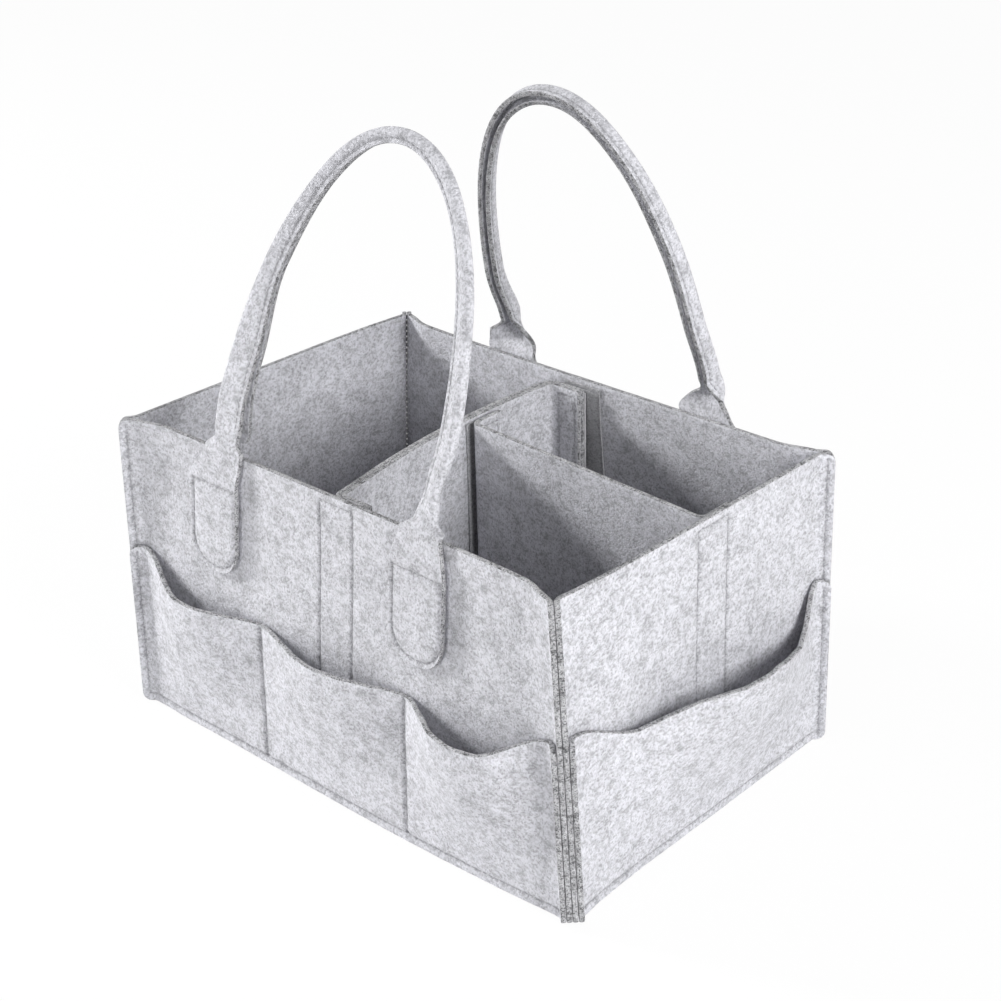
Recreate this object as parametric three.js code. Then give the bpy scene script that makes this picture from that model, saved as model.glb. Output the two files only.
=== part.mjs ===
// Felt diaper bag organizer: an open felt box with outside pockets, two arched carrying handles
// and two removable dividers held by hook and loop tape. Millimetres, +Z up, long front wall at -Y.
import * as THREE from "three";

// Felt and the air between pieces that lie against each other
const FELT = 2.8;
const GAP = 0.3;
const PLY = FELT + GAP;
const TAPE = 1.2;

// Box: inner faces of the walls, where they run straight
const HEIGHT = 183;
const END_IN = 160;
const FRONT_IN = 104.7;

// Corner seams: each wall folds outward by 45 degrees into a narrow flange with its raw edge outside
const FOLD_RADIUS = 9;
const FLANGE = 6;
const FLANGE_ROUND = 4;
const FOLD_SHIFT = FOLD_RADIUS * (1 - Math.SQRT2) - GAP * Math.SQRT1_2;

// Soft shape of the filled box: the walls spread toward the foot, the long walls draw in along
// the middle of their top edge, and two opposite corner columns lean
const SPREAD_END = 1.1;
const SPREAD_FRONT = 3.9;
const FOOT_HEIGHT = 70;
const FOOT_SPREAD = 0.9;
const DRAW_IN = 5.4;
const DRAW_IN_START = 60;
const DRAW_IN_EASE = 25;
const CORNER_LEAN = 3.4;

// Bottom panel: its rim is turned down inside the walls and the middle rests on the ground
const RIM_HEIGHT = 7.2;
const RIM_CORNER = 8;
const RIM_SHARES = [0.2, 0.4, 0.55, 0.7, 0.82, 0.92, 1];
const SAG_START = RIM_SHARES[2];

// Pockets on the long walls, three side by side between two seams
const POCKET_SEAM_X = 56;
const POCKET_TOP = 90;
const POCKET_CORNER_TOP = 104.5;
const POCKET_RISE = 38;
const POCKET_FULLNESS = [13, 13, 20];
const SEAM_FLAT = 2;
const POCKET_STOPS = [0, 0.03, 0.1, 0.2, 0.32, 0.44, 0.56, 0.68, 0.8, 0.9, 0.97];
const POCKET_RISE_REACH = 1.35;
const POCKET_ROWS = 8;

// Pocket on each end wall
const END_POCKET_TOP = 93;
const END_POCKET_CORNER_TOP = 107;
const END_POCKET_FULLNESS = 25;
const END_POCKET_PEAK = 25;
const END_POCKET_FRONT_RISE = 42;
const END_POCKET_BACK_RISE = 21;
const END_POCKET_HUMP = 3;
const END_POCKET_HUMP_Y = -25;
const END_POCKET_DIP = 7;
const END_POCKET_DIP_Y = 72;
const END_POCKET_WAVE = 38;

// Handles: one folded felt strip each, widened at both ends into tabs sewn to the wall
const HINGE_Y = FRONT_IN - DRAW_IN + FELT + GAP + FELT + 0.2;
const HINGE_Z = HEIGHT + 2;
const TAB_WIDTH = 41;
const TAB_BOTTOM = 110.5;
const TAB_TOP = HINGE_Z - 0.15;
const TAB_ROUND = 18;
const TAB_SHIFT = -6;
const TAB_NECK = 162;
const TAB_NECK_LENGTH = 26;
const FRONT_HANDLE_X = -8.7;
const BACK_HANDLE_X = -16.2;
const HANDLE_HALF = 78.4;
const HANDLE_HEIGHT = 186.3;
const ARCH_SPREAD = 0.99;
const ARCH_RISE = 0.814;
const STRIP_WIDTH = 30;
const STRIP_FOLD_RADIUS = 1.65;
const STRAP_START = 0.3;
const ROOT_BEVEL = 0.6;
const ROOT_BEVEL_LENGTH = 6;
const ROOT_MARKS = [0, 1.5, 3, 4.5, 6, 7.5, 9, 11, 13, 16, 20, 26, 34];
const STRAP_STAND_OFF = 0.2;
const STRAP_OUTWARD = 2;
const FOLD_LENGTH = 13;
const FRONT_LEAN = 23.7;
const BACK_LEAN = 16.6;

// Turn of the folded strip about its own length, from its left end to its right end, in degrees
const FRONT_TWIST = [0, 0, 0, 30, 85, 70, 58, 55, 55];
const BACK_TWIST = [85, 90, 90, 85];

// Hook and loop tape on the walls
const TAPE_WIDTH = 27;
const TAPE_FRONT_X = -12;
const TAPE_END_Y = -4.5;
const TAPE_BOTTOM = 9;
const TAPE_TOP = HEIGHT - 3;

// Dividers
const DIVIDER_BOTTOM = 8;
const DIVIDER_TOP = HEIGHT - 4;
const DIVIDER_BEND = 9;
const DIVIDER_FLANGE = 18;
const TAPE_STACK = 3 * GAP + 2 * TAPE;
const DIVIDER_END = FRONT_IN - DRAW_IN - TAPE_STACK;
const HOOK_INSET = 1;
const HOOK_BOTTOM = TAPE_BOTTOM + 2;
const HOOK_TOP = DIVIDER_TOP - 3;
const MAIN_X = -24;
const MAIN_SLANT = -9;
const MAIN_CURVE = 10;
const CROSS_BEND = 6;
const CROSS_START_Y = 18;
const CROSS_END_Y = 7.7;
const CROSS_FLANGE = 18;
const MAIN_CLEARANCE = 0.2;
const END_WALL_TURN = 1;

const felt = new THREE.MeshStandardMaterial({ color: 0xc9cacd, roughness: 0.95, metalness: 0 });
felt.name = "felt";
const loopTape = new THREE.MeshStandardMaterial({ color: 0xb9babd, roughness: 0.98, metalness: 0 });
loopTape.name = "loop_tape";
const hookTape = new THREE.MeshStandardMaterial({ color: 0xdadadc, roughness: 0.6, metalness: 0 });
hookTape.name = "hook_tape";

const part = new THREE.Group();
part.name = "diaper_bag_organizer";

const rad = (degrees) => (degrees * Math.PI) / 180;

function smooth(t) {
  const c = Math.min(Math.max(t, 0), 1);
  return c * c * (3 - 2 * c);
}

// Evenly spread values from a to b, both included
function spread(a, b, steps) {
  return Array.from({ length: steps + 1 }, (_, i) => a + ((b - a) * i) / steps);
}

// Value between evenly spaced stops, eased from one to the next
function along(stops, t) {
  const at = Math.min(Math.max(t, 0), 1) * (stops.length - 1);
  const i = Math.min(Math.floor(at), stops.length - 2);
  return stops[i] + (stops[i + 1] - stops[i]) * smooth(at - i);
}

// A closed body from quads and triangles over shared points, turned to face outward
function closedBody(points, faces) {
  let volume = 0;
  for (const [a, b, c] of faces) {
    volume += points[a].dot(points[b].clone().cross(points[c]));
  }
  const order = volume > 0 ? faces : faces.map(([a, b, c]) => [a, c, b]);
  const flat = points.flatMap((p) => [p.x, p.y, p.z]);
  const geometry = new THREE.BufferGeometry();
  geometry.setAttribute("position", new THREE.Float32BufferAttribute(flat, 3));
  geometry.setIndex(order.flat());
  geometry.computeVertexNormals();
  return geometry;
}

// A felt sheet with two faces and cut edges. face(i, j, side) gives a point of the near face (0)
// or the far face (1) for each column and row.
function sheet(columns, rows, face) {
  const points = [];
  for (const side of [0, 1]) {
    for (let i = 0; i <= columns; i++) {
      for (let j = 0; j <= rows; j++) {
        points.push(face(i, j, side));
      }
    }
  }
  const at = (i, j, side) => side * (columns + 1) * (rows + 1) + i * (rows + 1) + j;
  const faces = [];
  const quad = (a, b, c, d) => faces.push([a, b, c], [a, c, d]);
  for (let i = 0; i < columns; i++) {
    for (let j = 0; j < rows; j++) {
      quad(at(i, j, 0), at(i + 1, j, 0), at(i + 1, j + 1, 0), at(i, j + 1, 0));
      quad(at(i, j, 1), at(i, j + 1, 1), at(i + 1, j + 1, 1), at(i + 1, j, 1));
    }
    quad(at(i, 0, 0), at(i, 0, 1), at(i + 1, 0, 1), at(i + 1, 0, 0));
    quad(at(i, rows, 0), at(i + 1, rows, 0), at(i + 1, rows, 1), at(i, rows, 1));
  }
  for (let j = 0; j < rows; j++) {
    quad(at(0, j, 0), at(0, j + 1, 0), at(0, j + 1, 1), at(0, j, 1));
    quad(at(columns, j, 0), at(columns, j, 1), at(columns, j + 1, 1), at(columns, j + 1, 0));
  }
  return closedBody(points, faces);
}

function add(name, geometry, material, turned = false) {
  const mesh = new THREE.Mesh(geometry, material);
  mesh.name = name;
  if (turned) mesh.rotation.z = Math.PI;
  part.add(mesh);
}

// Everything sewn to the box follows its soft shape
function settle(x, y, z) {
  const low = 1 - z / HEIGHT;
  const foot = z < FOOT_HEIGHT ? (1 - z / FOOT_HEIGHT) ** 2 : 0;
  const middle = Math.cos((Math.PI / 2) * Math.min(Math.abs(x) / (END_IN + FLANGE), 1)) ** 2;
  const drawn = smooth((END_IN - Math.abs(x)) / DRAW_IN_EASE)
    * smooth((z - DRAW_IN_START) / (HEIGHT - DRAW_IN_START));
  const deep = SPREAD_FRONT * low + FOOT_SPREAD * middle * foot - DRAW_IN * drawn;
  const corner = Math.min(Math.max((-x * y) / (END_IN * FRONT_IN), 0), 1) ** 4;
  const lean = CORNER_LEAN * corner * (1 - 2 * low);
  const wide = SPREAD_END * low * (x / END_IN) - lean * Math.sign(x);
  const share = Math.sign(y) * Math.min(Math.abs(y) / FRONT_IN, 1);
  return new THREE.Vector3(x + wide, y + deep * share + lean * Math.sign(y), z);
}

// One side of the box seen from above: s runs along the wall, n is outward from the middle of the
// box, depth is measured outward from the wall's inner face
const LONG_SIDE = { inner: FRONT_IN, fold: END_IN + FOLD_SHIFT, place: (s, n, z) => settle(s, -n, z) };
const END_SIDE = { inner: END_IN, fold: FRONT_IN + FOLD_SHIFT, place: (s, n, z) => settle(n, s, z) };

// Stops along a side: the flange, the fold, the straight wall, the fold and the flange again
function stops(side, straight) {
  const end = [];
  for (const bend of [0.34, 0.67, 1]) end.push({ s: side.fold, bend, tip: 0 });
  for (const tip of [0.35, 0.62, 0.85, 1]) end.push({ s: side.fold, bend: 1, tip });
  const start = end.map((p) => ({ ...p, s: -p.s })).reverse();
  return [...start, ...straight.map((s) => ({ s, bend: 0, tip: 0 })), ...end];
}

function sidePoint(side, stop, depth, z) {
  const sign = Math.sign(stop.s) || 1;
  const turn = (stop.bend * Math.PI) / 4;
  const radius = FOLD_RADIUS - depth;
  const run = stop.tip * FLANGE * Math.SQRT1_2;
  const s = stop.s + sign * (radius * Math.sin(turn) + run);
  const n = side.inner + FOLD_RADIUS - radius * Math.cos(turn) + run;
  return side.place(s, n, z);
}

// How far the rounded outer corner of a flange stays back from the top and bottom edges
function flangeRound(stop) {
  const edge = Math.min(FLANGE * (1 - stop.tip), FLANGE_ROUND);
  return FLANGE_ROUND - Math.sqrt(FLANGE_ROUND ** 2 - (FLANGE_ROUND - edge) ** 2);
}

// Columns lie closer together toward the corners, where the walls bend most
const WALL_SHARES = [0.2, 0.42, 0.62, 0.78, 0.84, 0.88, 0.92, 0.96, 1];
const WALL_ROWS = [0, 5, 14, 28, 46, 68, 90, 112, 134, 158, HEIGHT];

function wall(side) {
  const half = WALL_SHARES.map((share) => share * side.fold);
  const list = stops(side, [...half.map((s) => -s).reverse(), 0, ...half]);
  const rows = WALL_ROWS;
  return sheet(list.length - 1, rows.length - 1, (i, j, far) => {
    const back = flangeRound(list[i]);
    const z = back + (rows[j] / HEIGHT) * (HEIGHT - 2 * back);
    return sidePoint(side, list[i], far * FELT, z);
  });
}

// A pocket lies on the wall at its seams and stands away from it between them, more toward its top
const rise = (t) => Math.sin((Math.PI / 2) * smooth(t / POCKET_RISE_REACH));

function pocket(side, straight, top, fullness) {
  const list = stops(side, straight);
  const centre = (i, j) => {
    const stop = list[Math.min(Math.max(i, 0), list.length - 1)];
    const back = flangeRound(stop);
    const height = top(stop.s, stop.tip);
    const t = Math.min(Math.max(j, 0), POCKET_ROWS) / POCKET_ROWS;
    const z = back + t * (height - 2 * back);
    const out = stop.bend > 0 ? 0 : (fullness(stop.s) * rise(t)) / rise(1);
    return { stop, z, out };
  };
  const middle = (i, j) => {
    const { stop, z, out } = centre(i, j);
    return sidePoint(side, stop, PLY + FELT / 2, z).add(outward(side).multiplyScalar(out));
  };
  return sheet(list.length - 1, POCKET_ROWS, (i, j, far) => {
    const { stop, z, out } = centre(i, j);
    if (stop.bend > 0) return sidePoint(side, stop, PLY + far * FELT, z);
    const du = middle(i + 1, j).sub(middle(i - 1, j));
    const dv = middle(i, j + 1).sub(middle(i, j - 1));
    const normal = du.cross(dv).normalize();
    if (normal.dot(outward(side)) < 0) normal.negate();
    return middle(i, j).addScaledVector(normal, (far - 0.5) * FELT);
  });
}

function outward(side) {
  return side === LONG_SIDE ? new THREE.Vector3(0, -1, 0) : new THREE.Vector3(1, 0, 0);
}

// Long walls and end walls
const longWall = wall(LONG_SIDE);
const endWall = wall(END_SIDE);
add("front_wall", longWall, felt);
add("back_wall", longWall, felt, true);
add("right_end_wall", endWall, felt);
add("left_end_wall", endWall, felt, true);

// Bottom panel: rings from the middle to the turned-down rim
function bottomPanel() {
  const halfX = END_IN - GAP;
  const halfY = FRONT_IN - GAP;
  const outline = [];
  const corners = [[1, 1], [-1, 1], [-1, -1], [1, -1]];
  corners.forEach(([sx, sy], k) => {
    const cx = sx * (halfX - RIM_CORNER);
    const cy = sy * (halfY - RIM_CORNER);
    for (const turn of spread(k * 90, k * 90 + 90, 3)) {
      outline.push({ cx, cy, turn: rad(turn) });
    }
    const [nx, ny] = corners[(k + 1) % 4];
    const steps = nx === sx ? 6 : 9;
    for (let i = 1; i < steps; i++) {
      const t = i / steps;
      const ex = nx * (halfX - RIM_CORNER);
      const ey = ny * (halfY - RIM_CORNER);
      outline.push({ cx: cx + (ex - cx) * t, cy: cy + (ey - cy) * t, turn: rad(k * 90 + 90) });
    }
  });
  const sag = (t) => (RIM_HEIGHT - FELT) * smooth((t - SAG_START) / (1 - SAG_START));
  const rings = [];
  for (const t of RIM_SHARES) {
    rings.push({ scale: t, inset: [4, 4], z: [sag(t), sag(t) + FELT] });
  }
  rings.push({ scale: 1, inset: [3.6, 2], z: [RIM_HEIGHT - FELT - 0.1, RIM_HEIGHT - 0.55] });
  rings.push({ scale: 1, inset: [3.3, 0.55], z: [RIM_HEIGHT - FELT - 0.4, RIM_HEIGHT - 2] });
  rings.push({ scale: 1, inset: [FELT, 0], z: [RIM_HEIGHT - FELT - 0.8, RIM_HEIGHT - 4] });
  rings.push({ scale: 1, inset: [FELT, 0], z: [0, 0] });
  const point = (ring, at, side) => {
    const radius = RIM_CORNER - ring.inset[side];
    const x = (at.cx + radius * Math.cos(at.turn)) * ring.scale;
    const y = (at.cy + radius * Math.sin(at.turn)) * ring.scale;
    return settle(x, y, ring.z[side]);
  };
  const points = [];
  const n = outline.length;
  for (const side of [0, 1]) {
    points.push(new THREE.Vector3(0, 0, side * FELT));
    for (const ring of rings) {
      for (const at of outline) points.push(point(ring, at, side));
    }
  }
  const at = (side, ring, i) => side * (1 + n * rings.length) + 1 + ring * n + (i % n);
  const faces = [];
  for (let i = 0; i < n; i++) {
    faces.push([at(0, 0, i) - 1 - (i % n), at(0, 0, i + 1), at(0, 0, i)]);
    faces.push([at(1, 0, i) - 1 - (i % n), at(1, 0, i), at(1, 0, i + 1)]);
    for (let r = 0; r + 1 < rings.length; r++) {
      faces.push([at(0, r, i), at(0, r, i + 1), at(0, r + 1, i + 1)]);
      faces.push([at(0, r, i), at(0, r + 1, i + 1), at(0, r + 1, i)]);
      faces.push([at(1, r, i), at(1, r + 1, i + 1), at(1, r, i + 1)]);
      faces.push([at(1, r, i), at(1, r + 1, i), at(1, r + 1, i + 1)]);
    }
    const last = rings.length - 1;
    faces.push([at(0, last, i), at(0, last, i + 1), at(1, last, i + 1)]);
    faces.push([at(0, last, i), at(1, last, i + 1), at(1, last, i)]);
  }
  return closedBody(points, faces);
}
add("bottom_panel", bottomPanel(), felt);

// Three pockets on each long wall, one felt sheet with two seams
function longPocket() {
  const edges = [-LONG_SIDE.fold, -POCKET_SEAM_X, POCKET_SEAM_X, LONG_SIDE.fold];
  const straight = [];
  for (let k = 0; k < 3; k++) {
    for (const t of POCKET_STOPS) {
      straight.push(edges[k] + (edges[k + 1] - edges[k]) * t);
    }
  }
  straight.push(edges[3]);
  const fullness = (s) => {
    const k = edges.findIndex((edge, i) => i < 3 && s <= edges[i + 1]);
    const from = edges[k] + SEAM_FLAT;
    const t = Math.min(Math.max((s - from) / (edges[k + 1] - SEAM_FLAT - from), 0), 1);
    return POCKET_FULLNESS[k] * Math.sin(Math.PI * t) ** 1.3;
  };
  const top = (s) => {
    const rise = smooth((Math.abs(s) - LONG_SIDE.fold + POCKET_RISE) / POCKET_RISE);
    return POCKET_TOP + (POCKET_CORNER_TOP - POCKET_TOP) * rise;
  };
  return pocket(LONG_SIDE, straight, top, fullness);
}

function endPocket() {
  const straight = spread(-END_SIDE.fold, END_SIDE.fold, 20);
  const fullness = (s) => {
    const front = s < END_POCKET_PEAK;
    const reach = front ? END_POCKET_PEAK + END_SIDE.fold : END_SIDE.fold - END_POCKET_PEAK;
    const t = Math.min(Math.abs(s - END_POCKET_PEAK) / reach, 1);
    return END_POCKET_FULLNESS * Math.cos((Math.PI / 2) * t) ** (front ? 2 : 1.3);
  };
  const top = (s) => {
    const length = s < 0 ? END_POCKET_FRONT_RISE : END_POCKET_BACK_RISE;
    const corner = smooth((Math.abs(s) - END_SIDE.fold + length) / length);
    const wave = (y) => Math.cos((Math.PI / 2) * Math.min(Math.abs(s - y) / END_POCKET_WAVE, 1)) ** 2;
    const uneven = END_POCKET_HUMP * wave(END_POCKET_HUMP_Y) - END_POCKET_DIP * wave(END_POCKET_DIP_Y);
    return END_POCKET_TOP + (END_POCKET_CORNER_TOP - END_POCKET_TOP) * corner + uneven;
  };
  return pocket(END_SIDE, straight, top, fullness);
}

const longPockets = longPocket();
const endPockets = endPocket();
add("front_pocket", longPockets, felt);
add("back_pocket", longPockets, felt, true);
add("right_end_pocket", endPockets, felt);
add("left_end_pocket", endPockets, felt, true);

// Tabs: the widened ends of each handle strip, sewn flat on the outside of the long walls. They
// narrow toward the wall's top edge, where the strip goes on as the strap.
function tab(x) {
  const levels = [0, 0.05, 0.17, 0.36, 0.64].map((t) => TAB_BOTTOM + TAB_ROUND * t);
  const rows = [...levels, ...spread(TAB_BOTTOM + TAB_ROUND, TAB_TOP, 8)];
  const columns = 4;
  return sheet(columns, rows.length - 1, (i, j, far) => {
    const z = rows[j];
    const neck = smooth((z - TAB_NECK) / TAB_NECK_LENGTH);
    const width = TAB_WIDTH + (STRIP_WIDTH - TAB_WIDTH) * neck;
    const below = Math.max(TAB_BOTTOM + TAB_ROUND - z, 0);
    const half = width / 2 - TAB_ROUND + Math.sqrt(TAB_ROUND ** 2 - below ** 2);
    const s = x + TAB_SHIFT * (1 - neck) + half * ((2 * i) / columns - 1);
    return LONG_SIDE.place(s, FRONT_IN + PLY + far * FELT, z);
  });
}

for (const [end, sign] of [["left", -1], ["right", 1]]) {
  add(`front_${end}_tab`, tab(FRONT_HANDLE_X + sign * HANDLE_HALF), felt);
  add(`back_${end}_tab`, tab(BACK_HANDLE_X - sign * HANDLE_HALF), felt, true);
}

// Handle arch in its own upright plane: x across, b up from the hinge line
function archPoint(turn) {
  const c = Math.cos(turn);
  const x = -Math.sign(c) * HANDLE_HALF * Math.abs(c) ** ARCH_SPREAD;
  return new THREE.Vector2(x, HANDLE_HEIGHT * Math.sin(turn) ** ARCH_RISE);
}

// Stations along the arch at stated shares of its length, closer together where the strip opens
function archStations() {
  const first = Math.asin((STRAP_START / HANDLE_HEIGHT) ** (1 / ARCH_RISE));
  const track = spread(first, Math.PI - first, 1200).map(archPoint);
  const length = [0];
  for (let i = 1; i < track.length; i++) {
    length.push(length[i - 1] + track[i].distanceTo(track[i - 1]));
  }
  const total = length[length.length - 1];
  const between = spread(ROOT_MARKS.at(-1), total - ROOT_MARKS.at(-1), 25).slice(1, -1);
  const marks = [...ROOT_MARKS, ...between, ...ROOT_MARKS.map((d) => total - d).reverse()];
  return marks.map((d) => {
    const k = Math.max(1, length.findIndex((value) => value >= Math.min(d, total) - 1e-9));
    const t = (d - length[k - 1]) / (length[k] - length[k - 1]);
    const point = track[k - 1].clone().lerp(track[k], t);
    const tangent = track[k].clone().sub(track[k - 1]).normalize();
    return { point, tangent, d, total };
  });
}

// Section of the strip: flat at the tab, folded in half with the fold outward along the arch.
// Returns the middle line of the felt as [outward, inward, heading] across the strip.
function stripSection(open, columns) {
  const turn = Math.PI * open;
  const bent = STRIP_WIDTH * 0.7 * (1 - open) + Math.PI * STRIP_FOLD_RADIUS * open;
  const straight = (STRIP_WIDTH - bent) / 2;
  const line = [];
  const fine = 240;
  let x = 0;
  let y = 0;
  for (let i = 0; i <= fine; i++) {
    const s = (i / fine) * STRIP_WIDTH;
    const heading = turn * Math.min(Math.max((s - straight) / bent, 0), 1);
    line.push([x, y, heading]);
    x += (Math.cos(heading) * STRIP_WIDTH) / fine;
    y += (Math.sin(heading) * STRIP_WIDTH) / fine;
  }
  const fold = spread(straight, straight + bent, columns - 4);
  const marks = [0, straight * 0.5, ...fold, straight * 1.5 + bent, STRIP_WIDTH];
  const picked = marks.map((s) => line[Math.round((s / STRIP_WIDTH) * fine)]);
  const xs = line.map((p) => p[0]);
  const middle = (Math.min(...xs) + Math.max(...xs)) / 2;
  return picked.map(([px, py, heading]) => [px - middle, py, heading]);
}

function strap(lean, twist, centreX) {
  const stations = archStations();
  const columns = 10;
  const cosLean = Math.cos(rad(lean));
  const sinLean = Math.sin(rad(lean));
  const toBox = (x, a, b) => {
    const y = -HINGE_Y + a * cosLean + b * sinLean;
    return new THREE.Vector3(centreX + x, y, HINGE_Z + b * cosLean - a * sinLean);
  };
  return sheet(columns, stations.length - 1, (i, j, far) => {
    const { point, tangent, d, total } = stations[j];
    const fromEnd = Math.min(d, total - d);
    const open = smooth(fromEnd / FOLD_LENGTH);
    const [out, inward, heading] = stripSection(open, columns)[i];
    const side = (far - 0.5) * FELT;
    const e1 = out + side * Math.sin(heading);
    const e2 = inward - side * Math.cos(heading);
    const settled = smooth(fromEnd / ROOT_MARKS.at(-1));
    const half = STRIP_FOLD_RADIUS * settled;
    const angle = rad(along(twist, d / total)) * open ** 2;
    const across = e1 * Math.cos(angle) + (e2 - half) * Math.sin(angle);
    const depth = -e1 * Math.sin(angle) + (e2 - half) * Math.cos(angle);
    const base = STRAP_STAND_OFF + FELT / 2 - STRAP_OUTWARD * settled;
    const x = point.x - tangent.y * across;
    const bevel = ROOT_BEVEL * (depth + FELT / 2) * (1 - smooth(fromEnd / ROOT_BEVEL_LENGTH));
    const b = point.y + tangent.x * across + bevel;
    return toBox(x, base + depth, b);
  });
}
add("front_handle_strap", strap(FRONT_LEAN, FRONT_TWIST, FRONT_HANDLE_X), felt);
add("back_handle_strap", strap(BACK_LEAN, BACK_TWIST, BACK_HANDLE_X), felt, true);

// Loop tapes sewn inside the walls where the dividers end
function wallTape(side, from) {
  const columns = spread(from, from + TAPE_WIDTH, 3);
  const rows = spread(TAPE_BOTTOM, TAPE_TOP, 9);
  return sheet(columns.length - 1, rows.length - 1, (i, j, far) => {
    const stop = { s: columns[i], bend: 0, tip: 0 };
    return sidePoint(side, stop, -GAP - far * TAPE, rows[j]);
  });
}
add("front_loop_tape", wallTape(LONG_SIDE, TAPE_FRONT_X), loopTape);
add("back_loop_tape", wallTape(LONG_SIDE, TAPE_FRONT_X), loopTape, true);
add("right_end_loop_tape", wallTape(END_SIDE, TAPE_END_Y), loopTape);

// A standing sheet along a path seen from above; near and far are offsets to the path's left
function standing(path, near, far, bottom, top) {
  const rows = spread(bottom, top, 3);
  return sheet(path.length - 1, rows.length - 1, (i, j, side) => {
    const { x, y, heading } = path[i];
    const offset = side ? far : near;
    return new THREE.Vector3(x - offset * Math.sin(heading), y + offset * Math.cos(heading), rows[j]);
  });
}

// Arc of a path: headings run from one value to the other about a centre on the left
function arc(cx, cy, radius, from, to, steps) {
  const list = spread(from, to, steps);
  return list.map((h) => ({ x: cx + radius * Math.sin(h), y: cy - radius * Math.cos(h), heading: h }));
}

// A flange that continues a path straight, backward from its start or forward from its end
function flange(from, length, direction, start = 0) {
  const list = spread(start, length, 3).map((d) => ({
    x: from.x + direction * d * Math.cos(from.heading),
    y: from.y + direction * d * Math.sin(from.heading),
    heading: from.heading,
  }));
  return direction < 0 ? list.reverse() : list;
}

// Main divider, seen from above: from the back wall to the front wall, both flanges toward +X
const mainX = (y) => {
  const t = y / FRONT_IN;
  return MAIN_X + MAIN_SLANT * t + MAIN_CURVE * t * t;
};
const mainHeading = (y) => Math.atan2(-FRONT_IN, -MAIN_SLANT - (2 * MAIN_CURVE * y) / FRONT_IN);

function mainPath() {
  const y0 = DIVIDER_END - DIVIDER_BEND;
  const heading0 = mainHeading(y0);
  const heading1 = mainHeading(-y0);
  const atBack = { cx: mainX(y0) - DIVIDER_BEND * Math.sin(heading0), cy: y0 };
  const atFront = { cx: mainX(-y0) - DIVIDER_BEND * Math.sin(heading1), cy: -y0 };
  const back = arc(atBack.cx, atBack.cy, DIVIDER_BEND, -Math.PI, heading0, 5);
  const front = arc(atFront.cx, atFront.cy, DIVIDER_BEND, heading1, 0, 5);
  const from = back[5].y;
  const to = front[0].y;
  const run = spread(from, to, 14).slice(1, -1);
  const between = run.map((y) => ({ x: mainX(y), y, heading: mainHeading(y) }));
  return { back, between, front };
}

const main = mainPath();
const backFlange = flange(main.back[0], DIVIDER_FLANGE, -1);
const frontFlange = flange(main.front[5], DIVIDER_FLANGE, 1);
const mainBody = [...main.back, ...main.between, ...main.front];
const mainLine = [...backFlange.slice(0, -1), ...mainBody, ...frontFlange.slice(1)];
add("main_divider_outer_ply", standing(mainLine, 0, FELT, DIVIDER_BOTTOM, DIVIDER_TOP), felt);
add("main_divider_inner_ply", standing(mainLine, PLY, PLY + FELT, DIVIDER_BOTTOM, DIVIDER_TOP), felt);

// Hook tape behind a flange, facing the loop tape on the wall
const hookTapeOn = (line) => standing(line, -GAP, -GAP - TAPE, HOOK_BOTTOM, HOOK_TOP);
const hookBack = flange(main.back[0], DIVIDER_FLANGE, -1, HOOK_INSET);
const hookFront = flange(main.front[5], DIVIDER_FLANGE, 1, HOOK_INSET);
add("main_divider_back_hook_tape", hookTapeOn(hookBack), hookTape);
add("main_divider_front_hook_tape", hookTapeOn(hookFront), hookTape);

// Loop tape on the main divider, where the cross divider is held
const mainTapeY = spread(CROSS_START_Y - HOOK_INSET + TAPE_WIDTH, CROSS_START_Y - HOOK_INSET, 4);
const mainTapeLine = mainTapeY.map((y) => ({ x: mainX(y), y, heading: mainHeading(y) }));
const mainTapeNear = PLY + FELT + GAP;
const mainTapeFar = mainTapeNear + TAPE;
const mainTape = standing(mainTapeLine, mainTapeNear, mainTapeFar, TAPE_BOTTOM, HOOK_TOP + HOOK_INSET);
add("main_divider_loop_tape", mainTape, loopTape);

// Cross divider: from the main divider to the right end wall, both flanges toward +Y
function crossPath() {
  const heading0 = mainHeading(CROSS_START_Y + CROSS_FLANGE / 2);
  const reach = mainTapeNear + TAPE + GAP + TAPE + GAP;
  const yBend = CROSS_START_Y + CROSS_BEND;
  const startX = mainX(yBend) - reach * Math.sin(heading0) + MAIN_CLEARANCE;
  const heading2 = Math.PI / 2 + rad(END_WALL_TURN);
  const cx0 = startX + CROSS_BEND;
  const cx1 = END_IN - TAPE_STACK - CROSS_BEND;
  const heading1 = Math.atan2(CROSS_END_Y - CROSS_START_Y, cx1 - cx0);
  const start = arc(cx0, yBend, CROSS_BEND, heading0, heading1, 5);
  const end = arc(cx1, CROSS_END_Y + CROSS_BEND, CROSS_BEND, heading1, heading2, 5);
  const between = spread(0, 1, 8).slice(1, -1).map((t) => ({
    x: start[5].x + (end[0].x - start[5].x) * t,
    y: start[5].y + (end[0].y - start[5].y) * t,
    heading: heading1,
  }));
  return { start, between, end };
}

const cross = crossPath();
const crossStart = flange(cross.start[0], CROSS_FLANGE, -1);
const crossEnd = flange(cross.end[5], CROSS_FLANGE, 1);
const crossBody = [...cross.start, ...cross.between, ...cross.end];
const crossLine = [...crossStart.slice(0, -1), ...crossBody, ...crossEnd.slice(1)];
add("cross_divider_panel", standing(crossLine, 0, FELT, DIVIDER_BOTTOM, DIVIDER_TOP), felt);
const hookMain = flange(cross.start[0], CROSS_FLANGE, -1, HOOK_INSET);
const hookEnd = flange(cross.end[5], CROSS_FLANGE, 1, HOOK_INSET);
add("cross_divider_main_hook_tape", hookTapeOn(hookMain), hookTape);
add("cross_divider_end_hook_tape", hookTapeOn(hookEnd), hookTape);

export default part;
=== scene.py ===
"""Felt diaper bag organizer: felt box, pockets, folded handles, dividers, tapes and stitching."""

import math

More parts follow.
